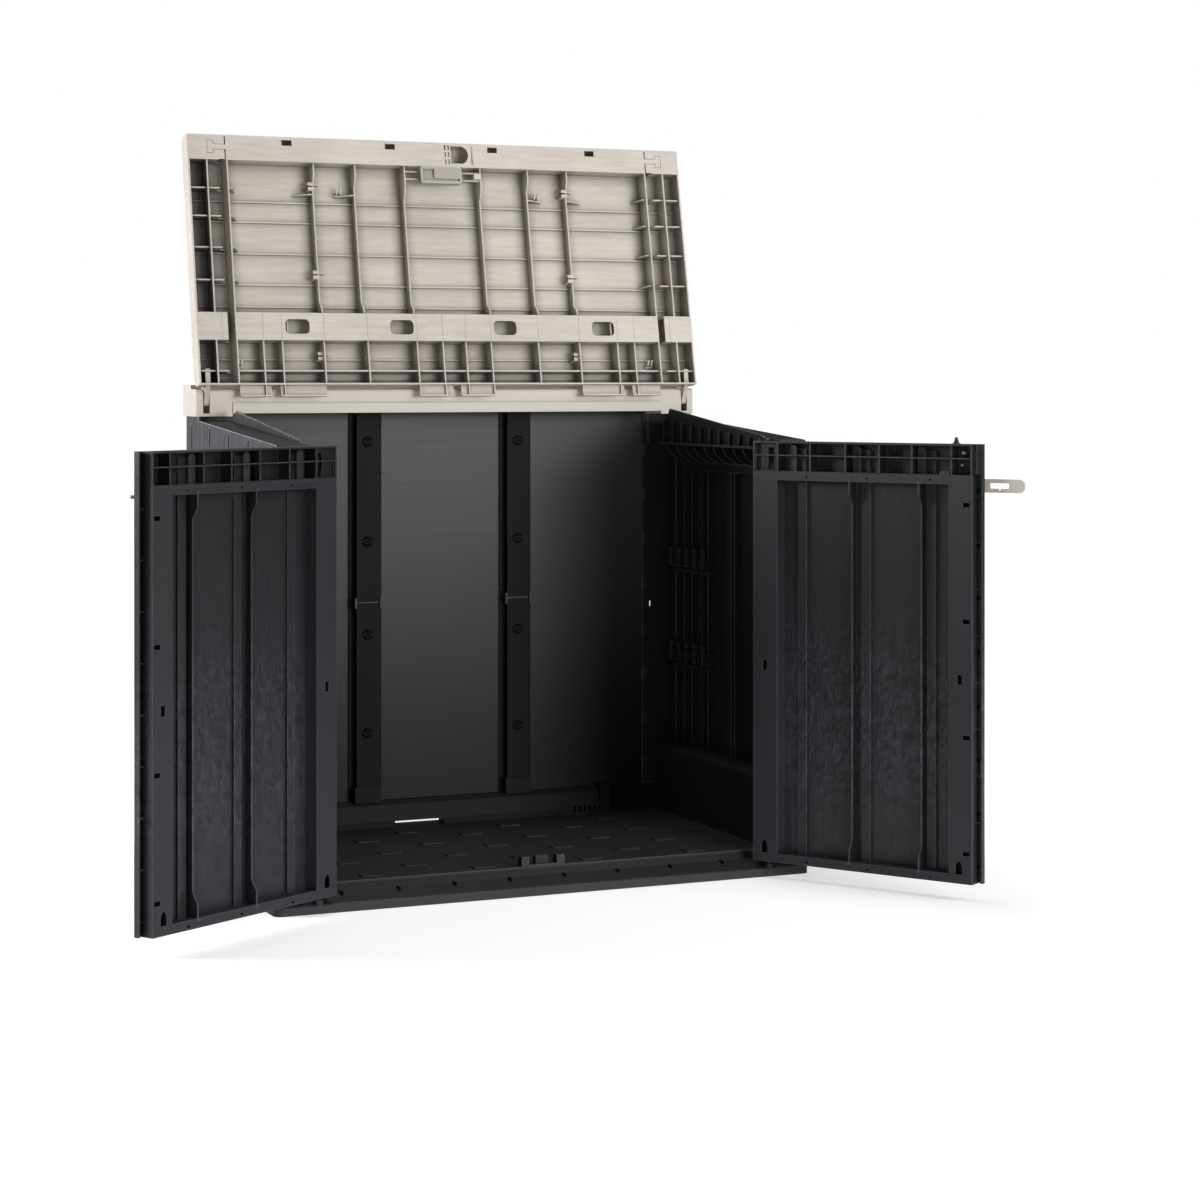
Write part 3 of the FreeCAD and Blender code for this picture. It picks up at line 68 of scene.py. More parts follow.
def group_tree(name, inputs, outputs):
    """Empty shader group with float inputs (name, default) and float outputs."""
    tree = bpy.data.node_groups.new(name, "ShaderNodeTree")
    for label, value in inputs:
        socket = tree.interface.new_socket(label, in_out="INPUT", socket_type="NodeSocketFloat")
        socket.default_value = value
    for label in outputs:
        tree.interface.new_socket(label, in_out="OUTPUT", socket_type="NodeSocketFloat")
    return tree, tree.nodes.new("NodeGroupInput"), tree.nodes.new("NodeGroupOutput")


def arith(tree, operation, a, b=None, c=None):
    """Math node; a, b and c are sockets or numbers. Returns its output."""
    node = put(tree, "ShaderNodeMath", operation=operation)
    for value, socket in zip((a, b, c), node.inputs):
        if value is not None:
            feed(tree, value, socket)
    return node.outputs[0]


def noise(tree, vector, scale, detail, rough=0.55):
    """Noise texture on a vector; scale is a socket or a number. Returns its value output."""
    node = put(tree, "ShaderNodeTexNoise", Detail=detail, Roughness=rough)
    wire(tree, vector, node.inputs["Vector"])
    feed(tree, scale, node.inputs["Scale"])
    return node.outputs["Fac"]


def object_place(tree):
    """Object coordinates."""
    return put(tree, "ShaderNodeTexCoord").outputs["Object"]


def stretched(tree, across, along):
    """Object coordinates multiplied by across on X and Y and by along on Z."""
    factors = put(tree, "ShaderNodeCombineXYZ")
    for value, socket in zip((across, across, along), factors.inputs):
        feed(tree, value, socket)
    product = put(tree, "ShaderNodeVectorMath", operation="MULTIPLY")
    wire(tree, object_place(tree), product.inputs[0])
    wire(tree, factors.outputs[0], product.inputs[1])
    return product.outputs[0]


def axis_of(tree, axis):
    """One axis of the object coordinates."""
    parts = put(tree, "ShaderNodeSeparateXYZ")
    wire(tree, object_place(tree), parts.inputs[0])
    return parts.outputs[axis]


def faded(tree, value, zero, one):
    """Smooth step that is 0 where the value is at zero and 1 where it is at one."""
    node = put(tree, "ShaderNodeMapRange", interpolation_type="SMOOTHSTEP")
    wire(tree, value, node.inputs["Value"])
    node.inputs["From Min"].default_value = min(zero, one)
    node.inputs["From Max"].default_value = max(zero, one)
    node.inputs["To Min"].default_value = 0.0 if zero < one else 1.0
    node.inputs["To Max"].default_value = 1.0 if zero < one else 0.0
    return node.outputs["Result"]


# Shared effects. Heights, places and reaches are in metres.

CLOUD_SCALE = 3.0
PIT_SCALE = 420.0
PIT_DEPTH = 0.0004
FIBRE_SCALE = (170.0, 9.0)
BEND_SCALE = 0.45
RIPPLE_HEAD = (0.68, 0.50)
RIPPLE_FOOT = (0.10, 0.32)
FLUTE_STRETCH = 1.1
PLANK_FACE_X = 0.641
GROOVE_X = 0.6400
GROOVE_REACH = 0.0018
UPSTAND_X = 0.5670
UPSTAND_REACH = 0.0020
UPSTAND_FOOT_Z = 0.985
# Painted corner light: shade painted into hollows, a highlight painted along outer edges, and painted floor
# light that makes the doors paler towards the foot and darker towards the top.
CORNER_SAMPLES = 6
EDGE_HIGHLIGHT_FADE = (0.92, 0.55)
HOLLOW_SHADE_POWER = 1.5
PAINTED_FOOT_LIGHT_FADE = (0.95, 0.10)
PAINTED_TOP_SHADE = 0.3


def make_mould_skin():
    """Moulded surface: Cloud is a broad flow of tone, Speckle the fine pitting left by the mould."""
    tree, gin, gout = group_tree("mould_skin", [("Broad", CLOUD_SCALE), ("Fine", PIT_SCALE)],
                                 ["Cloud", "Speckle"])
    place = object_place(tree)
    wire(tree, noise(tree, place, gin.outputs["Broad"], 4.0), gout.inputs["Cloud"])
    wire(tree, noise(tree, place, gin.outputs["Fine"], 2.0, 0.6), gout.inputs["Speckle"])
    return tree


def make_board_figure():
    """Moulded timber skin: Grain is fine upright fibre, Swirl a soft noise bent by a second one,
    Low is 1 in the rippled lower stretch."""
    tree, gin, gout = group_tree("board_figure", [("Across", 22.0), ("Along", 8.0), ("Bend", 1.6)],
                                 ["Grain", "Swirl", "Low"])
    wire(tree, noise(tree, stretched(tree, *FIBRE_SCALE), 1.0, 4.0, 0.62), gout.inputs["Grain"])
    flow = stretched(tree, gin.outputs["Across"], gin.outputs["Along"])
    bend = put(tree, "ShaderNodeTexNoise", Scale=BEND_SCALE, Detail=2.0)
    wire(tree, flow, bend.inputs["Vector"])
    push = put(tree, "ShaderNodeVectorMath", operation="SCALE")
    wire(tree, bend.outputs["Color"], push.inputs[0])
    wire(tree, gin.outputs["Bend"], push.inputs["Scale"])
    bent = put(tree, "ShaderNodeVectorMath", operation="ADD")
    wire(tree, flow, bent.inputs[0])
    wire(tree, push.outputs[0], bent.inputs[1])
    wire(tree, noise(tree, bent.outputs[0], 1.0, 2.5, 0.50), gout.inputs["Swirl"])
    height = axis_of(tree, "Z")
    below = faded(tree, height, *RIPPLE_HEAD)
    above = faded(tree, height, *RIPPLE_FOOT)
    wire(tree, arith(tree, "MULTIPLY", below, above), gout.inputs["Low"])
    return tree


def make_flutes():
    """Upright flutes: Flute is their wavering height. Outer is 1 on the planks' outer faces and the upstand,
    Groove is 1 in the grooves between the planks."""
    tree, gin, gout = group_tree("flutes",
                                 [("Pitch", 95.0), ("Face", PLANK_FACE_X), ("Upstand", UPSTAND_X)],
                                 ["Flute", "Outer", "Groove"])
    wave = noise(tree, stretched(tree, gin.outputs["Pitch"], FLUTE_STRETCH), 1.0, 3.0)
    wire(tree, faded(tree, wave, 0.30, 0.70), gout.inputs["Flute"])
    away = arith(tree, "ABSOLUTE", axis_of(tree, "X"))
    plank = arith(tree, "GREATER_THAN", away, gin.outputs["Face"])
    wire(tree, arith(tree, "COMPARE", away, GROOVE_X, GROOVE_REACH), gout.inputs["Groove"])
    near = arith(tree, "COMPARE", away, gin.outputs["Upstand"], UPSTAND_REACH)
    high = arith(tree, "GREATER_THAN", axis_of(tree, "Z"), UPSTAND_FOOT_Z)
    wire(tree, arith(tree, "MAXIMUM", plank, arith(tree, "MULTIPLY", near, high)), gout.inputs["Outer"])
    return tree


def make_extruded_lines():
    """Extruded sheet: Lines are fine level lines, Drift a slow change of tone."""
    tree, gin, gout = group_tree("extruded_lines", [("Pitch", 150.0)], ["Lines", "Drift"])
    level = stretched(tree, 2.0, gin.outputs["Pitch"])
    wire(tree, noise(tree, level, 1.0, 3.0, 0.7), gout.inputs["Lines"])
    wire(tree, noise(tree, stretched(tree, 2.5, 2.5), 1.0, 2.0), gout.inputs["Drift"])
    return tree


def make_painted_corner_light():
    """Masks for painted corner light on a moulding: Open falls towards 0 in hollows nearer than Reach,
    Edge rises to 1 on outer edges within Width. Open drives painted shade in hollows, Edge a painted
    highlight along edges."""
    tree, gin, gout = group_tree("painted_corner_light", [("Reach", 0.03), ("Width", 0.002)], ["Open", "Edge"])
    hollow = put(tree, "ShaderNodeAmbientOcclusion", samples=CORNER_SAMPLES, only_local=True)
    wire(tree, gin.outputs["Reach"], hollow.inputs["Distance"])
    wire(tree, hollow.outputs["AO"], gout.inputs["Open"])
    brim = put(tree, "ShaderNodeAmbientOcclusion", samples=CORNER_SAMPLES, only_local=True, inside=True)
    wire(tree, gin.outputs["Width"], brim.inputs["Distance"])
    wire(tree, faded(tree, brim.outputs["AO"], *EDGE_HIGHLIGHT_FADE), gout.inputs["Edge"])
    return tree


mould_skin = make_mould_skin()
painted_corner_light = make_painted_corner_light()
board_figure = make_board_figure()
flutes = make_flutes()
extruded_lines = make_extruded_lines()


def effect(tree, group, **values):
    """Places a shared effect with its own values. Returns its outputs."""
    node = tree.nodes.new("ShaderNodeGroup")
    node.node_tree = group
    for name, value in values.items():
        node.inputs[name].default_value = value
    return node.outputs


def colour_of(mix):
    """Colour output of a colour mix."""
    return next(s for s in mix.outputs if s.type == "RGBA")


def two_tones(tree, mask, dark, light):
    """Colour between dark and light by the mask."""
    mix = put(tree, "ShaderNodeMix", data_type="RGBA")
    wire(tree, mask, mix.inputs["Factor"])
    mix.inputs["A"].default_value = (*dark, 1)
    mix.inputs["B"].default_value = (*light, 1)
    return colour_of(mix)


def spread(tree, mask, low, high):
    """Value from low to high by the mask."""
    node = put(tree, "ShaderNodeMapRange", To_Min=low, To_Max=high)
    wire(tree, mask, node.inputs["Value"])
    return node.outputs["Result"]


def paint_corner_light(tree, shader, colour, reach, hollow_shade, width, highlight_gain, foot_light=0.0):
    """Base colour with painted corner light: it sinks to a given share in hollows as painted shade, rises by
    a given gain along outer edges as a painted highlight, and with a foot value pales towards the foot and
    darkens towards the top as painted light from the floor."""
    corner = effect(tree, painted_corner_light, Reach=reach, Width=width)
    # Painted shade in hollows.
    shade = spread(tree, arith(tree, "POWER", corner["Open"], HOLLOW_SHADE_POWER), hollow_shade, 1.0)
    # Painted highlight along outer edges.
    painted_highlight = arith(tree, "MULTIPLY_ADD", corner["Edge"], highlight_gain, 1.0)
    factor = arith(tree, "MULTIPLY", shade, painted_highlight)
    # Painted light from the floor: paler towards the foot, darker towards the top.
    if foot_light:
        low = faded(tree, axis_of(tree, "Z"), *PAINTED_FOOT_LIGHT_FADE)
        factor = arith(tree, "MULTIPLY", factor, spread(tree, low, 1.0 - PAINTED_TOP_SHADE * foot_light, 1.0 + foot_light))
    toned = put(tree, "ShaderNodeVectorMath", operation="SCALE")
    wire(tree, colour, toned.inputs[0])
    wire(tree, factor, toned.inputs["Scale"])
    wire(tree, toned.outputs[0], shader.inputs["Base Color"])


def new_finish(name):
    """New material. Returns it, its node tree and its shader."""
    mat = bpy.data.materials.new(name)
    mat.use_nodes = True
    tree = mat.node_tree
    return mat, tree, tree.nodes["Principled BSDF"]


def bumped(tree, shader, height, distance, strength, edge=0.0012):
    """Bump from a height mask over normals rounded at the edges."""
    soft = put(tree, "ShaderNodeBevel", samples=4, Radius=edge)
    node = put(tree, "ShaderNodeBump", Distance=distance, Strength=strength)
    wire(tree, soft.outputs["Normal"], node.inputs["Normal"])
    wire(tree, height, node.inputs["Height"])
    wire(tree, node.outputs["Normal"], shader.inputs["Normal"])


# Finishes. Corner values are the hollows' reach and the share of painted shade left in them, the width and
# gain of the painted highlight on outer edges, and the foot's painted floor light.

PLAIN_CORNER = (0.02, 0.30, 0.0024, 3.0)
BOARD_CORNER = (0.045, 0.08, 0.0024, 3.0, 0.8)
FLOOR_CORNER = (0.02, 0.12, 0.0026, 1.6)
WALL_CORNER = (0.05, 0.10, 0.0026, 7.0)
FRAME_CORNER = (0.02, 0.20, 0.0024, 2.0, 0.5)
POST_CORNER = (0.03, 0.15, 0.0022, 3.5)
RAIL_CORNER = (0.02, 0.25, 0.0022, 5.0)
LATCH_CORNER = (0.03, 0.35, 0.0022, 0.6)
LID_CORNER = (0.035, 0.20, 0.0016, 0.10)
# The cheeks' cells get different painted shade: deep painted shade in the left cheek, lighter painted shade
# in the right.
LEFT_CHEEK_DEEP_SHADE = (0.070, 0.02, 0.0016, 0.10)
RIGHT_CHEEK_LIGHT_SHADE = (0.045, 0.30, 0.0016, 0.10)
PALE_CORNER = (0.03, 0.35, 0.0016, 0.10)
SMALL_CORNER = (0.003, 0.70, 0.0004, 0.2)
DULL = 0.25
SHEET_DULL = 0.2
LID_GRAIN_SCALE = (9.0, 95.0, 95.0)
# Painted light rising up the back sheet, and painted shadow under the beam.
SHEET_LIGHT_RISE = (0.10, 1.10)
SHEET_SHADOW = (1.068, 1.035)


def moulded(name, dark, light, rough, fine=PIT_SCALE, specular=0.5, corner=PLAIN_CORNER):
    """Plain moulded resin: tone drifts with Cloud, gloss and pitting with Speckle."""
    mat, tree, shader = new_finish(name)
    skin = effect(tree, mould_skin, Broad=CLOUD_SCALE, Fine=fine)
    paint_corner_light(tree, shader, two_tones(tree, skin["Cloud"], dark, light), *corner)
    wire(tree, spread(tree, skin["Speckle"], *rough), shader.inputs["Roughness"])
    shader.inputs["Specular IOR Level"].default_value = specular
    bumped(tree, shader, skin["Speckle"], PIT_DEPTH, 0.5)
    return mat


def boarded(name, dark, light, rough, across, along, bend, relief):
    """Resin moulded as timber: a bent swirl, stronger low down, and fibre move tone, gloss and relief.
    The swirl is strong only on faces that look forward as drawn, which are the open doors' inner faces. The
    rippled lower stretch is also painted lighter, as painted light from the floor."""
    mat, tree, shader = new_finish(name)
    board = effect(tree, board_figure, Across=across, Along=along, Bend=bend)
    facing = put(tree, "ShaderNodeSeparateXYZ")
    wire(tree, put(tree, "ShaderNodeTexCoord").outputs["Normal"], facing.inputs[0])
    inner = faded(tree, facing.outputs["Y"], 0.1, -0.1)
    contrast = arith(tree, "MULTIPLY_ADD", arith(tree, "MULTIPLY", board["Low"], inner), 1.3,
                     arith(tree, "MULTIPLY_ADD", inner, 0.35, 0.15))
    swirl = arith(tree, "MULTIPLY", arith(tree, "SUBTRACT", board["Swirl"], 0.5), contrast)
    # Painted light: the rippled lower stretch is made lighter than the top.
    painted_low_light = arith(tree, "MULTIPLY_ADD", board["Low"], 0.16, 0.24)
    both = arith(tree, "MULTIPLY_ADD", board["Grain"], 0.35, arith(tree, "ADD", swirl, painted_low_light))
    paint_corner_light(tree, shader, two_tones(tree, both, dark, light), *BOARD_CORNER)
    wire(tree, spread(tree, both, rough[1], rough[0]), shader.inputs["Roughness"])
    bumped(tree, shader, both, relief, 0.6)
    return mat


def floored(name, dark, light, rough, light_bands):
    """Base resin: pitted, its tone scaled along Y by bands of (place, share), from front to back; the bands
    paint light and shade onto the lip, the step and the floor.
    """
    mat, tree, shader = new_finish(name)
    skin = effect(tree, mould_skin, Broad=CLOUD_SCALE, Fine=260.0)
    first, last = light_bands[0][0], light_bands[-1][0]
    along = put(tree, "ShaderNodeMapRange", From_Min=first, From_Max=last)
    wire(tree, axis_of(tree, "Y"), along.inputs["Value"])
    # Painted light and shade by bands along Y.
    ramp = put(tree, "ShaderNodeValToRGB")
    wire(tree, along.outputs["Result"], ramp.inputs["Fac"])
    marks = ramp.color_ramp.elements
    while len(marks) < len(light_bands):
        marks.new(1.0)
    for mark, (place, share) in zip(marks, light_bands):
        mark.position = (place - first) / (last - first)
        mark.color = (share, share, share, 1)
    mix = put(tree, "ShaderNodeMix", data_type="RGBA", blend_type="MULTIPLY")
    mix.inputs["Factor"].default_value = 1.0
    ends = [s for s in mix.inputs if s.type == "RGBA"]
    wire(tree, two_tones(tree, skin["Cloud"], dark, light), ends[0])
    wire(tree, ramp.outputs["Color"], ends[1])
    paint_corner_light(tree, shader, colour_of(mix), *FLOOR_CORNER)
    wire(tree, spread(tree, skin["Speckle"], *rough), shader.inputs["Roughness"])
    shader.inputs["Specular IOR Level"].default_value = DULL
    bumped(tree, shader, skin["Speckle"], 0.0007, 0.5)
    return mat


def walled(name, dark, light, rough, relief):
    """Side panel resin: smooth inside, upright flutes on the outer planks."""
    mat, tree, shader = new_finish(name)
    plank = effect(tree, flutes)
    skin = effect(tree, mould_skin, Broad=CLOUD_SCALE, Fine=PIT_SCALE)
    ridge = arith(tree, "MULTIPLY", plank["Flute"], plank["Outer"])
    light_share = arith(tree, "MULTIPLY_ADD", plank["Flute"], 0.60, 0.35)
    streak = arith(tree, "MULTIPLY", plank["Outer"], light_share)
    tone = arith(tree, "MULTIPLY_ADD", skin["Cloud"], 0.2, streak)
    tone = arith(tree, "MULTIPLY_ADD", plank["Groove"], -0.3, tone)
    paint_corner_light(tree, shader, two_tones(tree, tone, dark, light), *WALL_CORNER)
    shader.inputs["Specular IOR Level"].default_value = DULL
    wire(tree, spread(tree, skin["Speckle"], *rough), shader.inputs["Roughness"])
    bumped(tree, shader, ridge, relief, 0.9)
    return mat


def grained(name, dark, light, rough, relief, corner):
    """Pale lid resin: fine grain that runs across the lid, over a soft cloud of tone."""
    mat, tree, shader = new_finish(name)
    scaled = put(tree, "ShaderNodeVectorMath", operation="MULTIPLY")
    wire(tree, object_place(tree), scaled.inputs[0])
    scaled.inputs[1].default_value = LID_GRAIN_SCALE
    grain = noise(tree, scaled.outputs[0], 1.0, 5.0, 0.66)
    skin = effect(tree, mould_skin, Broad=5.0, Fine=330.0)
    mixed = arith(tree, "MULTIPLY_ADD", grain, 0.6, arith(tree, "MULTIPLY", skin["Cloud"], 0.4))
    tone = faded(tree, mixed, 0.30, 0.70)
    paint_corner_light(tree, shader, two_tones(tree, tone, dark, light), *corner)
    wire(tree, spread(tree, skin["Speckle"], *rough), shader.inputs["Roughness"])
    bumped(tree, shader, arith(tree, "MULTIPLY_ADD", skin["Speckle"], 0.35, grain), relief, 0.6)
    return mat


def sheeted(name, dark, light, rough):
    """Smooth extruded back sheet with fine level lines, painted lighter upwards as painted light and darker
    again under the beam as painted shadow of the beam.
    """
    mat, tree, shader = new_finish(name)
    sheet = effect(tree, extruded_lines, Pitch=160.0)
    height = axis_of(tree, "Z")
    # Painted light upwards and painted shadow under the beam.
    painted_rise = arith(tree, "MULTIPLY", faded(tree, height, *SHEET_LIGHT_RISE), faded(tree, height, *SHEET_SHADOW))
    tone = arith(tree, "MULTIPLY_ADD", arith(tree, "SUBTRACT", sheet["Drift"], 0.5), 0.2, painted_rise)
    wire(tree, two_tones(tree, tone, dark, light), shader.inputs["Base Color"])
    wire(tree, spread(tree, sheet["Lines"], *rough), shader.inputs["Roughness"])
    shader.inputs["Specular IOR Level"].default_value = SHEET_DULL
    bumped(tree, shader, sheet["Lines"], 0.0003, 0.35)
    return mat


def metalled(name, dark, light, rough):
    """Plated steel with a slight drift of tone and gloss."""
    mat, tree, shader = new_finish(name)
    skin = effect(tree, mould_skin, Broad=30.0, Fine=900.0)
    wire(tree, two_tones(tree, skin["Cloud"], dark, light), shader.inputs["Base Color"])
    wire(tree, spread(tree, skin["Speckle"], *rough), shader.inputs["Roughness"])
    shader.inputs["Metallic"].default_value = 1.0
    bumped(tree, shader, skin["Speckle"], 0.0001, 0.3, 0.0005)
    return mat


# Lip, sill, riser, the floor's front edge and the floor: place along Y and share of the tone. The shares are
# painted light and shade: the bright lip and the floor's bright front edge are painted highlights, the dark
# riser is painted shadow under the step, and the floor darkens towards the back as painted shade.
FLOOR_LIGHT_BANDS = ((-0.3700, 1.00), (-0.3675, 1.00), (-0.3660, 0.44), (-0.3195, 0.40), (-0.3185, 0.12),
               (-0.3108, 0.12), (-0.3100, 1.00), (-0.3060, 1.00), (-0.3050, 0.55), (0.1000, 0.55),
               (0.3000, 0.45))
BEIGE = ((0.470, 0.424, 0.372), (0.600, 0.550, 0.490), (0.40, 0.56), 0.0016)

black_smooth = moulded("black_resin_smooth", (0.0056, 0.0060, 0.0080), (0.0100, 0.0106, 0.0138),
                       (0.40, 0.54), specular=0.35)
black_frame = moulded("black_resin_frame", (0.0120, 0.0124, 0.0156), (0.0180, 0.0186, 0.0226),
                      (0.38, 0.52), corner=FRAME_CORNER)
black_post = moulded("black_resin_post", (0.0020, 0.0022, 0.0030), (0.0040, 0.0043, 0.0056),
                     (0.55, 0.70), specular=0.15, corner=POST_CORNER)
black_board = boarded("black_resin_board", (0.0030, 0.0032, 0.0044), (0.0250, 0.0258, 0.0310),
                      (0.24, 0.46), across=58.0, along=40.0, bend=3.2, relief=0.0019)
black_wall = walled("black_resin_wall", (0.0030, 0.0032, 0.0044), (0.0660, 0.0690, 0.0770),
                    (0.46, 0.60), relief=0.0042)
black_floor = floored("black_resin_floor", (0.0260, 0.0268, 0.0300), (0.0420, 0.0430, 0.0470),
                      (0.46, 0.62), FLOOR_LIGHT_BANDS)
black_rail = moulded("black_resin_rail", (0.0026, 0.0028, 0.0036), (0.0048, 0.0050, 0.0064),
                     (0.50, 0.66), specular=0.15, corner=RAIL_CORNER)
sheet_grey = sheeted("back_sheet_grey", (0.0050, 0.0052, 0.0062), (0.0480, 0.0488, 0.0520), (0.34, 0.46))
beige_resin = grained("beige_resin", *BEIGE, LID_CORNER)
# Two copies of the lid resin that differ only in the painted shade of their cells.
beige_left_cheek_shade = grained("beige_left_cheek_painted_shade", *BEIGE, LEFT_CHEEK_DEEP_SHADE)
beige_right_cheek_shade = grained("beige_right_cheek_painted_shade", *BEIGE, RIGHT_CHEEK_LIGHT_SHADE)
beige_beam = moulded("beige_beam_resin", (0.520, 0.472, 0.418), (0.575, 0.526, 0.468), (0.40, 0.54),
                     fine=300.0, corner=PALE_CORNER)
grey_resin = moulded("latch_grey_resin", (0.320, 0.298, 0.270), (0.380, 0.356, 0.326), (0.36, 0.50),
                     corner=LATCH_CORNER)
strap_resin = moulded("strap_resin", (0.44, 0.400, 0.355), (0.51, 0.466, 0.416), (0.40, 0.55),
                      corner=PALE_CORNER)
bright_steel = metalled("bright_steel", (0.62, 0.62, 0.63), (0.74, 0.74, 0.75), (0.30, 0.45))
plated_steel = metalled("plated_steel", (0.10, 0.10, 0.105), (0.16, 0.16, 0.165), (0.28, 0.45))
hasp_black = moulded("hasp_black", (0.010, 0.010, 0.011), (0.020, 0.020, 0.022), (0.38, 0.50),
                     corner=SMALL_CORNER)
# Near-black, almost without gloss: painted shade for the insides of recesses, slots and holes.
painted_recess_shade = moulded("recess_painted_shade", (0.0010, 0.0010, 0.0013), (0.0020, 0.0020, 0.0025), (0.60, 0.75),
                     specular=0.05, corner=SMALL_CORNER)

finish_of = {
    "base_floor": black_floor, "back_bottom_rail": black_rail,
    "side_panel_left": black_wall, "side_panel_right": black_wall,
    "back_sheet_left": sheet_grey, "back_sheet_centre": sheet_grey, "back_sheet_right": sheet_grey,
    "door_left_panel": black_board, "door_right_panel": black_board,
    "door_left_frame": black_frame, "door_right_frame": black_frame,
    "back_post_left_lower": black_post, "back_post_left_upper": black_post,
    "back_post_right_lower": black_post, "back_post_right_upper": black_post,
    "rear_beam": beige_beam, "beam_end_cap_left": beige_beam, "beam_end_cap_right": beige_beam,
    "lid_panel": beige_resin, "lid_cheek_left": beige_left_cheek_shade, "lid_cheek_right": beige_right_cheek_shade,
    "lid_latch_housing": grey_resin, "lid_latch_catch": grey_resin,
    "hasp_strap": strap_resin,
    "lid_hinge_pins": hasp_black, "door_left_pins": hasp_black, "door_right_pins": hasp_black,
    "hasp_pin": plated_steel, "hasp_screws": plated_steel, "post_screws": black_post,
    "hasp_bracket": hasp_black, "hasp_staple": hasp_black,
}


def dress(obj, mat):
    """Gives the object one material in its own slot."""
    if not obj.material_slots:
        obj.data.materials.append(None)
    for slot in obj.material_slots:
        slot.link = "OBJECT"
        slot.material = mat


for name, obj in nodes_of.items():
    dress(obj, finish_of.get(name, black_smooth))


# Small mouldings. Lengths are in metres, and the drawn places match the frame.
# In the names, S runs from a door's hinge edge or the lid's rear edge, N outwards from a door's inner face,
# and H up from the lid's rim when it lies flat.

SINK = 0.001
DOOR_PIN = (0.5467, -0.3583)
DOOR_IN = (0.025, 0.029)
DOOR_STEP = 0.557
DOOR_SKIN_N = 0.034
DOOR_TURN = {"left": math.radians(-149.45), "right": math.radians(122.2)}
STAR_S = DOOR_STEP + 0.0045
STAR_Z = np.linspace(0.072, 0.905, 8)
STAR_N = 0.024
STAR_R = 0.0042
RING_S = (0.220, 0.412)
RING_Z = (0.252, 0.748)
EDGE_RING_S = 0.530
EDGE_RING_Z = {"left": 0.542, "right": 0.436}
ARCH_S = (0.030, 0.525)
ARCH_Z = 0.902
ARCH_R = 0.0095
ARCH_W = 0.0016
ARCH_N = (-0.0006, 0.0004)
ARCH_LEG_TOP = 0.916
ARCH_BAR_Z = (0.914, 0.9156)
HEADER_BAR_S = (0.0853, 0.2514, 0.4141)
HEADER_BAR_W = 0.019
HEADER_BAR_N = 0.020
HEADER_BAR_FOOT = 0.9370
HEADER_BAR_TOP = 1.0000
HEADER_BAR_CUT = (0.005, 0.006)
SCREW_TIPS = ((0.5226, 0.9878, 0.0042), (0.5190, 0.9611, 0.0030))
SCREW_TIP_STEPS = ((0.0260, 0.55), (0.0285, 1.0))
HEADER_TAB = [(0.4770, 0.9330), (0.5000, 0.9330), (0.5000, 0.9475), (0.4785, 0.9475)]
HEADER_TAB_N = (0.0005, 0.0030)
LID_PIN = (0.2625, 1.098)
LID_REAR = (0.2335, 1.052)
LID_SLOPE = math.radians(4.03)
LID_OPEN = math.radians(-105.2)
LID_SEAM = 0.556
LID_SKIN = 0.044
LID_LENGTH = 0.610
LID_MAIN_RIB = 0.601 * LID_SEAM
LID_CLIP_S = (0.482, 0.262, 0.062)
LID_CLIP_H = (0.013, 0.036)
LID_HOOKS = ((-0.272, 0.478), (0.250, 0.478), (-0.545, 0.052), (0.528, 0.052))
BAND = (0.180 * LID_LENGTH, 0.284 * LID_LENGTH)
BAND_SEAMS = (0.054, 0.174, 0.401, 0.601, 0.788, 0.872)
CHEEK_SEAM_X = 0.585
SEAM_HALF = 0.0006
SEAM_H = (-0.0007, 0.0003)
LID_WEDGE = [(0.552, 0.001), (0.606, 0.001), (0.606, -0.0008), (0.560, -0.0040)]
LID_WEDGE_X = (0.079, 0.083)
POST_X = 0.198
POST_FACE_Y = 0.3245
POST_SCREW_Z = (0.286, 0.527, 0.754, 0.998)
POST_SCREW_TURNS = ((0.06, 0.44), (0.56, 0.94))
POST_JOINT_Z = 0.605
POST_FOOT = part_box("back_post_left_lower")[0][2]
POST_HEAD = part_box("back_post_left_upper")[1][2]
FLANGE_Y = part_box("back_sheet_centre")[0][1] - 0.0043
NOTCH_PITCH = 0.057
NOTCH_START = 0.028
NOTCH_END = 0.016
NOTCH_WEBS = ((-0.0420, -0.0344), (0.0344, 0.0420))
NOTCH_RUNGS = ((-0.0415, -0.0290), (0.0290, 0.0415))
SILL_FOOT = (0.004, 0.020)
SILL_HEAD = (0.051, 0.036)
TICK_PITCH = 0.132
TICK_MARGINS = (0.16, 0.10)
TICK_BACK = 0.034
TICK_SIZE = (0.005, 0.016)

# Axes of an outline and of the way it is carried
UPRIGHT_FACE = (0, 2, 1)
CROSS_SECTION = (1, 2, 0)


def span(at, low, high):
    """Two values, low and high from a place."""
    return at + low, at + high


def turned(a, b, centre, angle):
    """Point (a, b) turned about a centre."""
    da, db = a - centre[0], b - centre[1]
    c, s = math.cos(angle), math.sin(angle)
    return centre[0] + da * c - db * s, centre[1] + da * s + db * c


def on_lid(x, s, h):
    """Places on the open lid: s from its rear edge, h up from its rim when it lies flat."""
    y, z = turned(-s, h, (0.0, 0.0), LID_SLOPE)
    y, z = turned(y + LID_REAR[0], z + LID_REAR[1], LID_PIN, LID_OPEN)
    return np.stack([x, y, z], axis=-1)


def on_door(side):
    """Placing function of a door: s from the hinge edge, n outwards from the inner face, then height."""
    sign = 1 if side == "right" else -1

    def place(s, n, z):
        x = sign * (DOOR_PIN[0] + DOOR_IN[0] - s)
        y = DOOR_PIN[1] + DOOR_IN[1] - n
        x, y = turned(x, y, (sign * DOOR_PIN[0], DOOR_PIN[1]), DOOR_TURN[side])
        return np.stack([x, y, z], axis=-1)
    return place


def upright(x, y, z):
    """Places in the frame itself."""
    return np.stack([x, y, z], axis=-1)


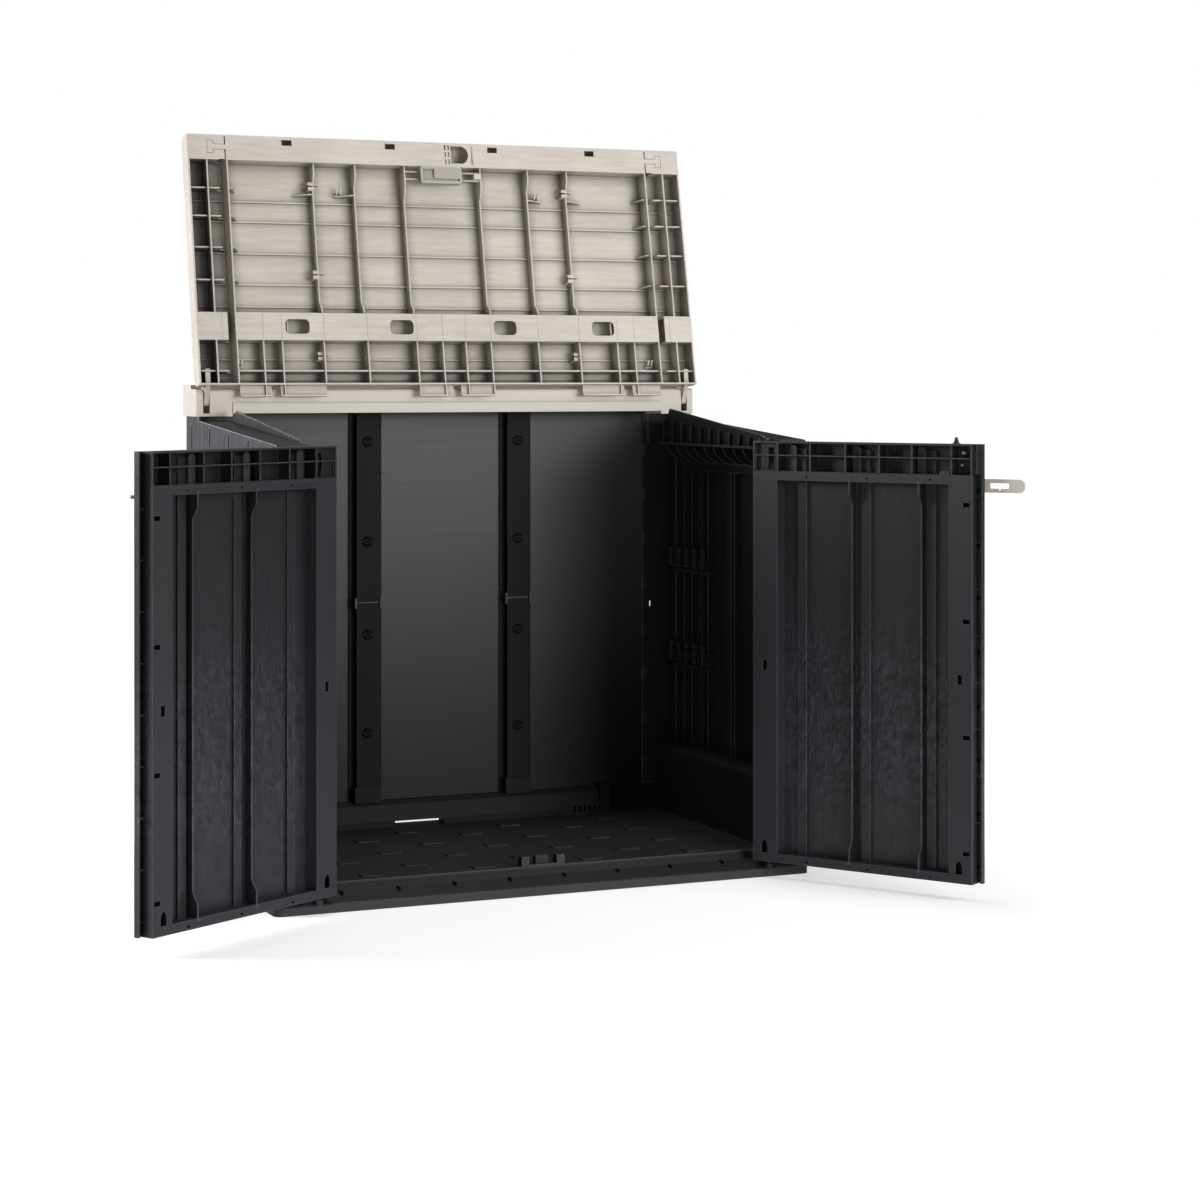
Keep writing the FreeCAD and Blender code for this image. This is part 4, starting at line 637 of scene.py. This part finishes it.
def outward(verts, faces):
    """Turns all faces over where the solid's signed volume is negative."""
    volume = 0.0
    for face in faces:
        a, b, c = verts[face[0]], verts[face[1:-1]], verts[face[2:]]
        volume += float(np.sum(np.cross(b, c) @ a))
    return verts, faces if volume > 0 else [face[::-1] for face in faces]


def ordered(place, order, a, b, c):
    """Places the points (a, b) at level c; order says which axes a, b and the level are."""
    axes = [None, None, None]
    for slot, values in zip(order, (a, b, np.full(len(a), float(c)))):
        axes[slot] = values
    return place(*axes)


def carried(place, outline, c0, c1, order=(0, 1, 2)):
    """Closed solid: the outline's points (a, b) carried straight from level c0 to level c1."""
    a, b = np.array(outline, float).T
    count = len(a)
    ends = [ordered(place, order, a, b, c) for c in (c0, c1)]
    ring = np.arange(count)
    after = (ring + 1) % count
    sides = np.stack([ring, after, after + count, ring + count], axis=1).tolist()
    return outward(np.concatenate(ends), sides + [ring[::-1].tolist(), (ring + count).tolist()])


def block(place, a, b, c):
    """Box between two values on each axis of the placing function."""
    return carried(place, [(a[0], b[0]), (a[1], b[0]), (a[1], b[1]), (a[0], b[1])], c[0], c[1])


def hoop(place, a, b, c, radius, width, height, turn=(0.0, 1.0)):
    """Ring on an upright face, round (a, b): a rectangle width by height, carried round the circle
    or a part of its turn."""
    whole = turn == (0.0, 1.0)
    count = 24
    angle = 2 * math.pi * np.linspace(*turn, count, endpoint=not whole)
    corners = [(radius - width, c), (radius, c), (radius, c + height), (radius - width, c + height)]
    rims = [ordered(place, UPRIGHT_FACE, a + r * np.cos(angle), b + r * np.sin(angle), level)
            for r, level in corners]
    verts = np.stack(rims, axis=1).reshape(-1, 3)
    here = np.arange(count if whole else count - 1)[:, None]
    there = (here + 1) % count
    corner = np.arange(4)
    after = (corner + 1) % 4
    quads = np.stack([4 * here + corner, 4 * there + corner, 4 * there + after, 4 * here + after], axis=-1)
    faces = quads.reshape(-1, 4).tolist()
    if not whole:
        last = 4 * (count - 1)
        faces += [[0, 1, 2, 3], [last + 3, last + 2, last + 1, last]]
    return outward(verts, faces)


def disc(place, a, b, c0, c1, radius, count, star=1.0):
    """Round solid on an upright face, or a star where every second point is drawn in by the star factor."""
    angle = 2 * math.pi * np.arange(count) / count
    r = radius * np.where(np.arange(count) % 2, star, 1.0)
    outline = np.stack([a + r * np.cos(angle), b + r * np.sin(angle)], axis=1)
    return carried(place, outline, c0, c1, UPRIGHT_FACE)


def piece(name, body, mat, solids):
    """One object of closed solids that rides on a body."""
    verts, faces, start = [], [], 0
    for points, polys in solids:
        verts.append(points)
        faces += [[index + start for index in poly] for poly in polys]
        start += len(points)
    mesh = bpy.data.meshes.new(name)
    mesh.from_pydata(np.concatenate(verts).tolist(), [], faces)
    mesh.materials.append(mat)
    obj = bpy.data.objects.new(name, mesh)
    scene.collection.objects.link(obj)
    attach(obj, body)


def door_marks(side):
    """Star clips in the free edge's channel, drawn near-black as painted shade of the channel, mould rings,
    and arch marks at the frame's top corners.
    """
    place = on_door(side)
    # Near-black stars: painted shade in the channel.
    stars = [disc(place, STAR_S, z, STAR_N, DOOR_SKIN_N + SINK, STAR_R, 16, 0.55) for z in STAR_Z]
    piece("door_%s_clips" % side, "door_" + side, painted_recess_shade, stars)
    rings = []
    for s in RING_S:
        for z in RING_Z:
            rings.append(hoop(place, s, z, DOOR_SKIN_N - 0.0006, 0.0080, 0.0014, 0.0010))
    rings.append(hoop(place, EDGE_RING_S, EDGE_RING_Z[side], -0.0005, 0.0085, 0.0014, 0.0010))
    for s in ARCH_S:
        rings.append(hoop(place, s, ARCH_Z, ARCH_N[0], ARCH_R, ARCH_W, 0.0012, (0.5, 1.0)))
        for leg in (-ARCH_R, ARCH_R - ARCH_W):
            rings.append(block(place, span(s + leg, 0.0, ARCH_W), ARCH_N, (ARCH_Z, ARCH_LEG_TOP)))
        rings.append(block(place, span(s, -ARCH_R, ARCH_R), ARCH_N, ARCH_BAR_Z))
    piece("door_%s_rings" % side, "door_" + side, black_smooth, rings)


def lid_clip(x, s):
    """Bracket astride a main rib: two cheeks, a slotted face and a short wing."""
    low, high = LID_CLIP_H
    cheek = span(x, -0.014, -0.0005)
    face = span(x, -0.014, 0.0030)
    wing = span(x, 0.0012, 0.016)
    return [block(on_lid, cheek, span(s, 0.0, 0.0025), LID_CLIP_H),
            block(on_lid, cheek, span(s, 0.0175, 0.020), LID_CLIP_H),
            block(on_lid, face, span(s, 0.002, 0.008), (low, low + 0.0025)),
            block(on_lid, face, span(s, 0.012, 0.018), (low, low + 0.0025)),
            block(on_lid, wing, span(s, 0.013, 0.0155), (low + 0.004, high))]


def lid_hook(x, s):
    """Small hook that stands on the lid's skin and leans over a slot."""
    root = LID_SKIN + SINK
    stem = [(s, root), (s, 0.030), (s + 0.014, 0.022), (s + 0.014, 0.026), (s + 0.005, 0.032),
            (s + 0.005, root)]
    return [carried(on_lid, stem, x, x + 0.004, CROSS_SECTION),
            carried(on_lid, stem, x + 0.009, x + 0.013, CROSS_SECTION),
            block(on_lid, span(x, -0.004, 0.017), span(s, -0.004, -0.001), (0.036, root))]


def lid_marks():
    """Clips, hooks, the fine seam lines of the window band, and a thin wedge near the front edge."""
    clips = []
    for x in (-LID_MAIN_RIB, LID_MAIN_RIB):
        for s in LID_CLIP_S:
            clips += lid_clip(x, s)
    for x, s in LID_HOOKS:
        clips += lid_hook(x, s)
    piece("lid_clips", "lid", beige_resin, clips)
    lines = []
    for seam in [part * LID_SEAM for part in BAND_SEAMS] + [CHEEK_SEAM_X]:
        for x in (-seam, seam):
            lines.append(block(on_lid, span(x, -SEAM_HALF, SEAM_HALF), BAND, SEAM_H))
    lines.append(carried(on_lid, LID_WEDGE, *LID_WEDGE_X, CROSS_SECTION))
    piece("lid_seams", "lid", grey_resin, lines)


def post_marks():
    """Dark broken rings and slots on the post fasteners, near-black as painted shade in their recesses, clips
    and a line at the joint of each post's halves, and at each notch of the flanges a thin web that closes
    part of it and a dark rung, a near-black painted shade of the notch."""
    rings, clips, rungs, webs = [], [], [], []
    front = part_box("post_screws")[0][1]
    for x in (-POST_X, POST_X):
        for z in POST_SCREW_Z:
            for turn in POST_SCREW_TURNS:
                rings.append(hoop(upright, x, z, front - 0.0006, 0.0118, 0.0050, 0.0012, turn))
            rings.append(block(upright, span(x, -0.0045, 0.0045), span(front, -0.0006, 0.0008),
                               span(z, -0.002, 0.002)))
        for edge in (-0.034, 0.030):
            clips.append(block(upright, span(x + edge, 0.0, 0.005), span(POST_FACE_Y, -0.004, 0.010),
                               span(POST_JOINT_Z, -0.014, 0.012)))
        clips.append(block(upright, span(x, -0.028, 0.028), span(POST_FACE_Y, -0.0016, 0.001),
                           span(POST_JOINT_Z, -0.0015, 0.0015)))
        for first, last in ((POST_FOOT, POST_JOINT_Z), (POST_JOINT_Z, POST_HEAD)):
            for z in np.arange(first + NOTCH_START, last - NOTCH_END, NOTCH_PITCH):
                for web in NOTCH_WEBS:
                    webs.append(block(upright, span(x, *web), span(FLANGE_Y, 0.0, 0.003),
                                      span(z, -0.0004, 0.0074)))
                for rung in NOTCH_RUNGS:
                    rungs.append(block(upright, span(x, *rung), span(FLANGE_Y, -0.0012, 0.001),
                                       span(z, 0.002, 0.0046)))
    # Rungs and fastener rings are near-black painted shade.
    piece("post_rungs", "carcass", painted_recess_shade, rungs)
    piece("post_notch_webs", "carcass", black_post, webs)
    piece("post_screw_recesses", "carcass", painted_recess_shade, rings)
    piece("post_joint_clips", "carcass", black_smooth, clips)


def sill_marks():
    """Short ticks across the sill's slope, at equal steps along it, drawn near-black as painted shade."""
    low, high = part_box("base_floor")
    slope = (SILL_HEAD[1] - SILL_FOOT[1]) / (SILL_HEAD[0] - SILL_FOOT[0])
    y = low[1] + TICK_BACK
    z = SILL_FOOT[1] + slope * (TICK_BACK - SILL_FOOT[0])
    ticks = []
    for x in np.arange(low[0] + TICK_MARGINS[0], high[0] - TICK_MARGINS[1], TICK_PITCH):
        ticks.append(block(upright, span(x, 0.0, TICK_SIZE[0]), span(y, 0.0, TICK_SIZE[1]),
                           span(z, -0.001, 0.0072)))
    piece("sill_ticks", "carcass", painted_recess_shade, ticks)


def header_bars(side):
    """Upright bars in three of the header's cells, their top corners taken off."""
    cut, drop = HEADER_BAR_CUT
    shoulder = HEADER_BAR_TOP - drop
    bars = []
    for s in HEADER_BAR_S:
        end = s + HEADER_BAR_W
        outline = [(s, HEADER_BAR_FOOT), (end, HEADER_BAR_FOOT), (end, shoulder),
                   (end - cut, HEADER_BAR_TOP), (s + cut, HEADER_BAR_TOP), (s, shoulder)]
        bars.append(carried(on_door(side), outline, HEADER_BAR_N, DOOR_SKIN_N + SINK, UPRIGHT_FACE))
    piece("door_%s_header_bars" % side, "door_" + side, black_frame, bars)


def header_marks():
    """Two plated screw tips in the right door's last header cell, and a small tab on its frame's top edge."""
    place = on_door("right")
    tips = []
    for s, z, radius in SCREW_TIPS:
        for depth, share in SCREW_TIP_STEPS:
            tips.append(disc(place, s, z, depth, DOOR_SKIN_N + SINK, radius * share, 12))
    piece("header_screw_tips", "door_right", bright_steel, tips)
    tab = carried(place, HEADER_TAB, *HEADER_TAB_N, UPRIGHT_FACE)
    piece("header_tab", "door_right", black_frame, [tab])


for door in DOOR_TURN:
    door_marks(door)
header_marks()
lid_marks()
post_marks()
sill_marks()
for door in DOOR_TURN:
    header_bars(door)


# Studio

FLOOR_HALF = 30.0
FLOOR_TONE = 0.82
GLOW_CENTRE = (0.0, -0.35, 0.0)
GLOW_FADE = (1.05, 1.35)
GLOW_NEAR = 0.44
AMBIENT = 0.12
CAMERA_PLACE = (-2.3583, -5.8968, 1.1594)
CAMERA_TURN = -23.58
CAMERA_LENS = 80.67
CAMERA_SHIFT = (0.0199, -0.187)


def studio_floor():
    """Pale floor. It answers light as a plain matt surface, and the camera also sees a white glow of its own,
    weaker near the box, so that the box's shadow stays."""
    u = np.array([-FLOOR_HALF, FLOOR_HALF])
    gx, gy = np.meshgrid(u, u)
    verts = np.stack([gx.ravel(), gy.ravel(), np.zeros(4)], axis=1)
    mesh = bpy.data.meshes.new("studio_floor")
    mesh.from_pydata(verts.tolist(), [], [(0, 1, 3, 2)])
    obj = bpy.data.objects.new("studio_floor", mesh)
    scene.collection.objects.link(obj)
    mat = bpy.data.materials.new("studio_floor")
    mat.use_nodes = True
    tree = mat.node_tree
    tree.nodes.clear()
    matt = put(tree, "ShaderNodeBsdfDiffuse", Color=(FLOOR_TONE, FLOOR_TONE, FLOOR_TONE, 1))
    glow = put(tree, "ShaderNodeEmission", Color=(1, 1, 1, 1))
    path = put(tree, "ShaderNodeLightPath")
    reach = put(tree, "ShaderNodeVectorMath", operation="DISTANCE")
    wire(tree, object_place(tree), reach.inputs[0])
    reach.inputs[1].default_value = GLOW_CENTRE
    far = faded(tree, reach.outputs["Value"], *GLOW_FADE)
    strength = arith(tree, "MULTIPLY_ADD", far, 1.0 - GLOW_NEAR, GLOW_NEAR)
    seen = arith(tree, "MULTIPLY", path.outputs["Is Camera Ray"], strength)
    wire(tree, seen, glow.inputs["Strength"])
    both = put(tree, "ShaderNodeAddShader")
    wire(tree, matt.outputs[0], both.inputs[0])
    wire(tree, glow.outputs[0], both.inputs[1])
    out = put(tree, "ShaderNodeOutputMaterial")
    wire(tree, both.outputs[0], out.inputs["Surface"])
    mesh.materials.append(mat)


def studio_world():
    """White where the camera sees it or looks through something clear, and a weak even light otherwise."""
    world = bpy.data.worlds.new("studio")
    scene.world = world
    world.use_nodes = True
    tree = world.node_tree
    back = tree.nodes["Background"]
    path = put(tree, "ShaderNodeLightPath")
    clear = arith(tree, "MAXIMUM", path.outputs["Is Camera Ray"], path.outputs["Is Transmission Ray"])
    strength = arith(tree, "MULTIPLY_ADD", clear, 1.0 - AMBIENT, AMBIENT)
    wire(tree, strength, back.inputs["Strength"])
    back.inputs["Color"].default_value = (1, 1, 1, 1)


def soft_lamp(name, at, target, width, height, power):
    """Soft lamp, width by height, that looks at the target."""
    lamp = bpy.data.lights.new(name, "AREA")
    lamp.shape = "RECTANGLE"
    lamp.size, lamp.size_y, lamp.energy = width, height, power
    obj = bpy.data.objects.new(name, lamp)
    obj.location = at
    obj.rotation_euler = (Vector(target) - Vector(at)).to_track_quat("-Z", "Y").to_euler()
    scene.collection.objects.link(obj)


def studio_camera():
    """Level camera at the photograph's place, shifted to its framing."""
    data = bpy.data.cameras.new("camera")
    data.sensor_width = 36.0
    data.lens = CAMERA_LENS
    data.shift_x, data.shift_y = CAMERA_SHIFT
    data.clip_end = 100
    obj = bpy.data.objects.new("camera", data)
    obj.location = CAMERA_PLACE
    obj.rotation_euler = (math.radians(90), 0, math.radians(CAMERA_TURN))
    scene.collection.objects.link(obj)
    scene.camera = obj


studio_floor()
studio_world()
soft_lamp("key_lamp", (3.4, -3.8, 3.0), (0, 0, 0.8), 2.4, 2.0, 85)
soft_lamp("front_lamp", (2.0, -6.2, 1.5), (0, 0, 0.9), 2.4, 1.6, 215)
soft_lamp("left_lamp", (-3.0, -5.0, 1.0), (0.4, -0.4, 0.5), 2.0, 1.2, 50)
soft_lamp("top_lamp", (0.2, 0.2, 4.2), (0, -0.4, 0.0), 1.4, 1.4, 45)
soft_lamp("side_lamp", (-4.2, 1.6, 2.0), (-0.6, 0.0, 0.9), 1.6, 1.6, 210)
studio_camera()
scene.view_settings.view_transform = "Standard"
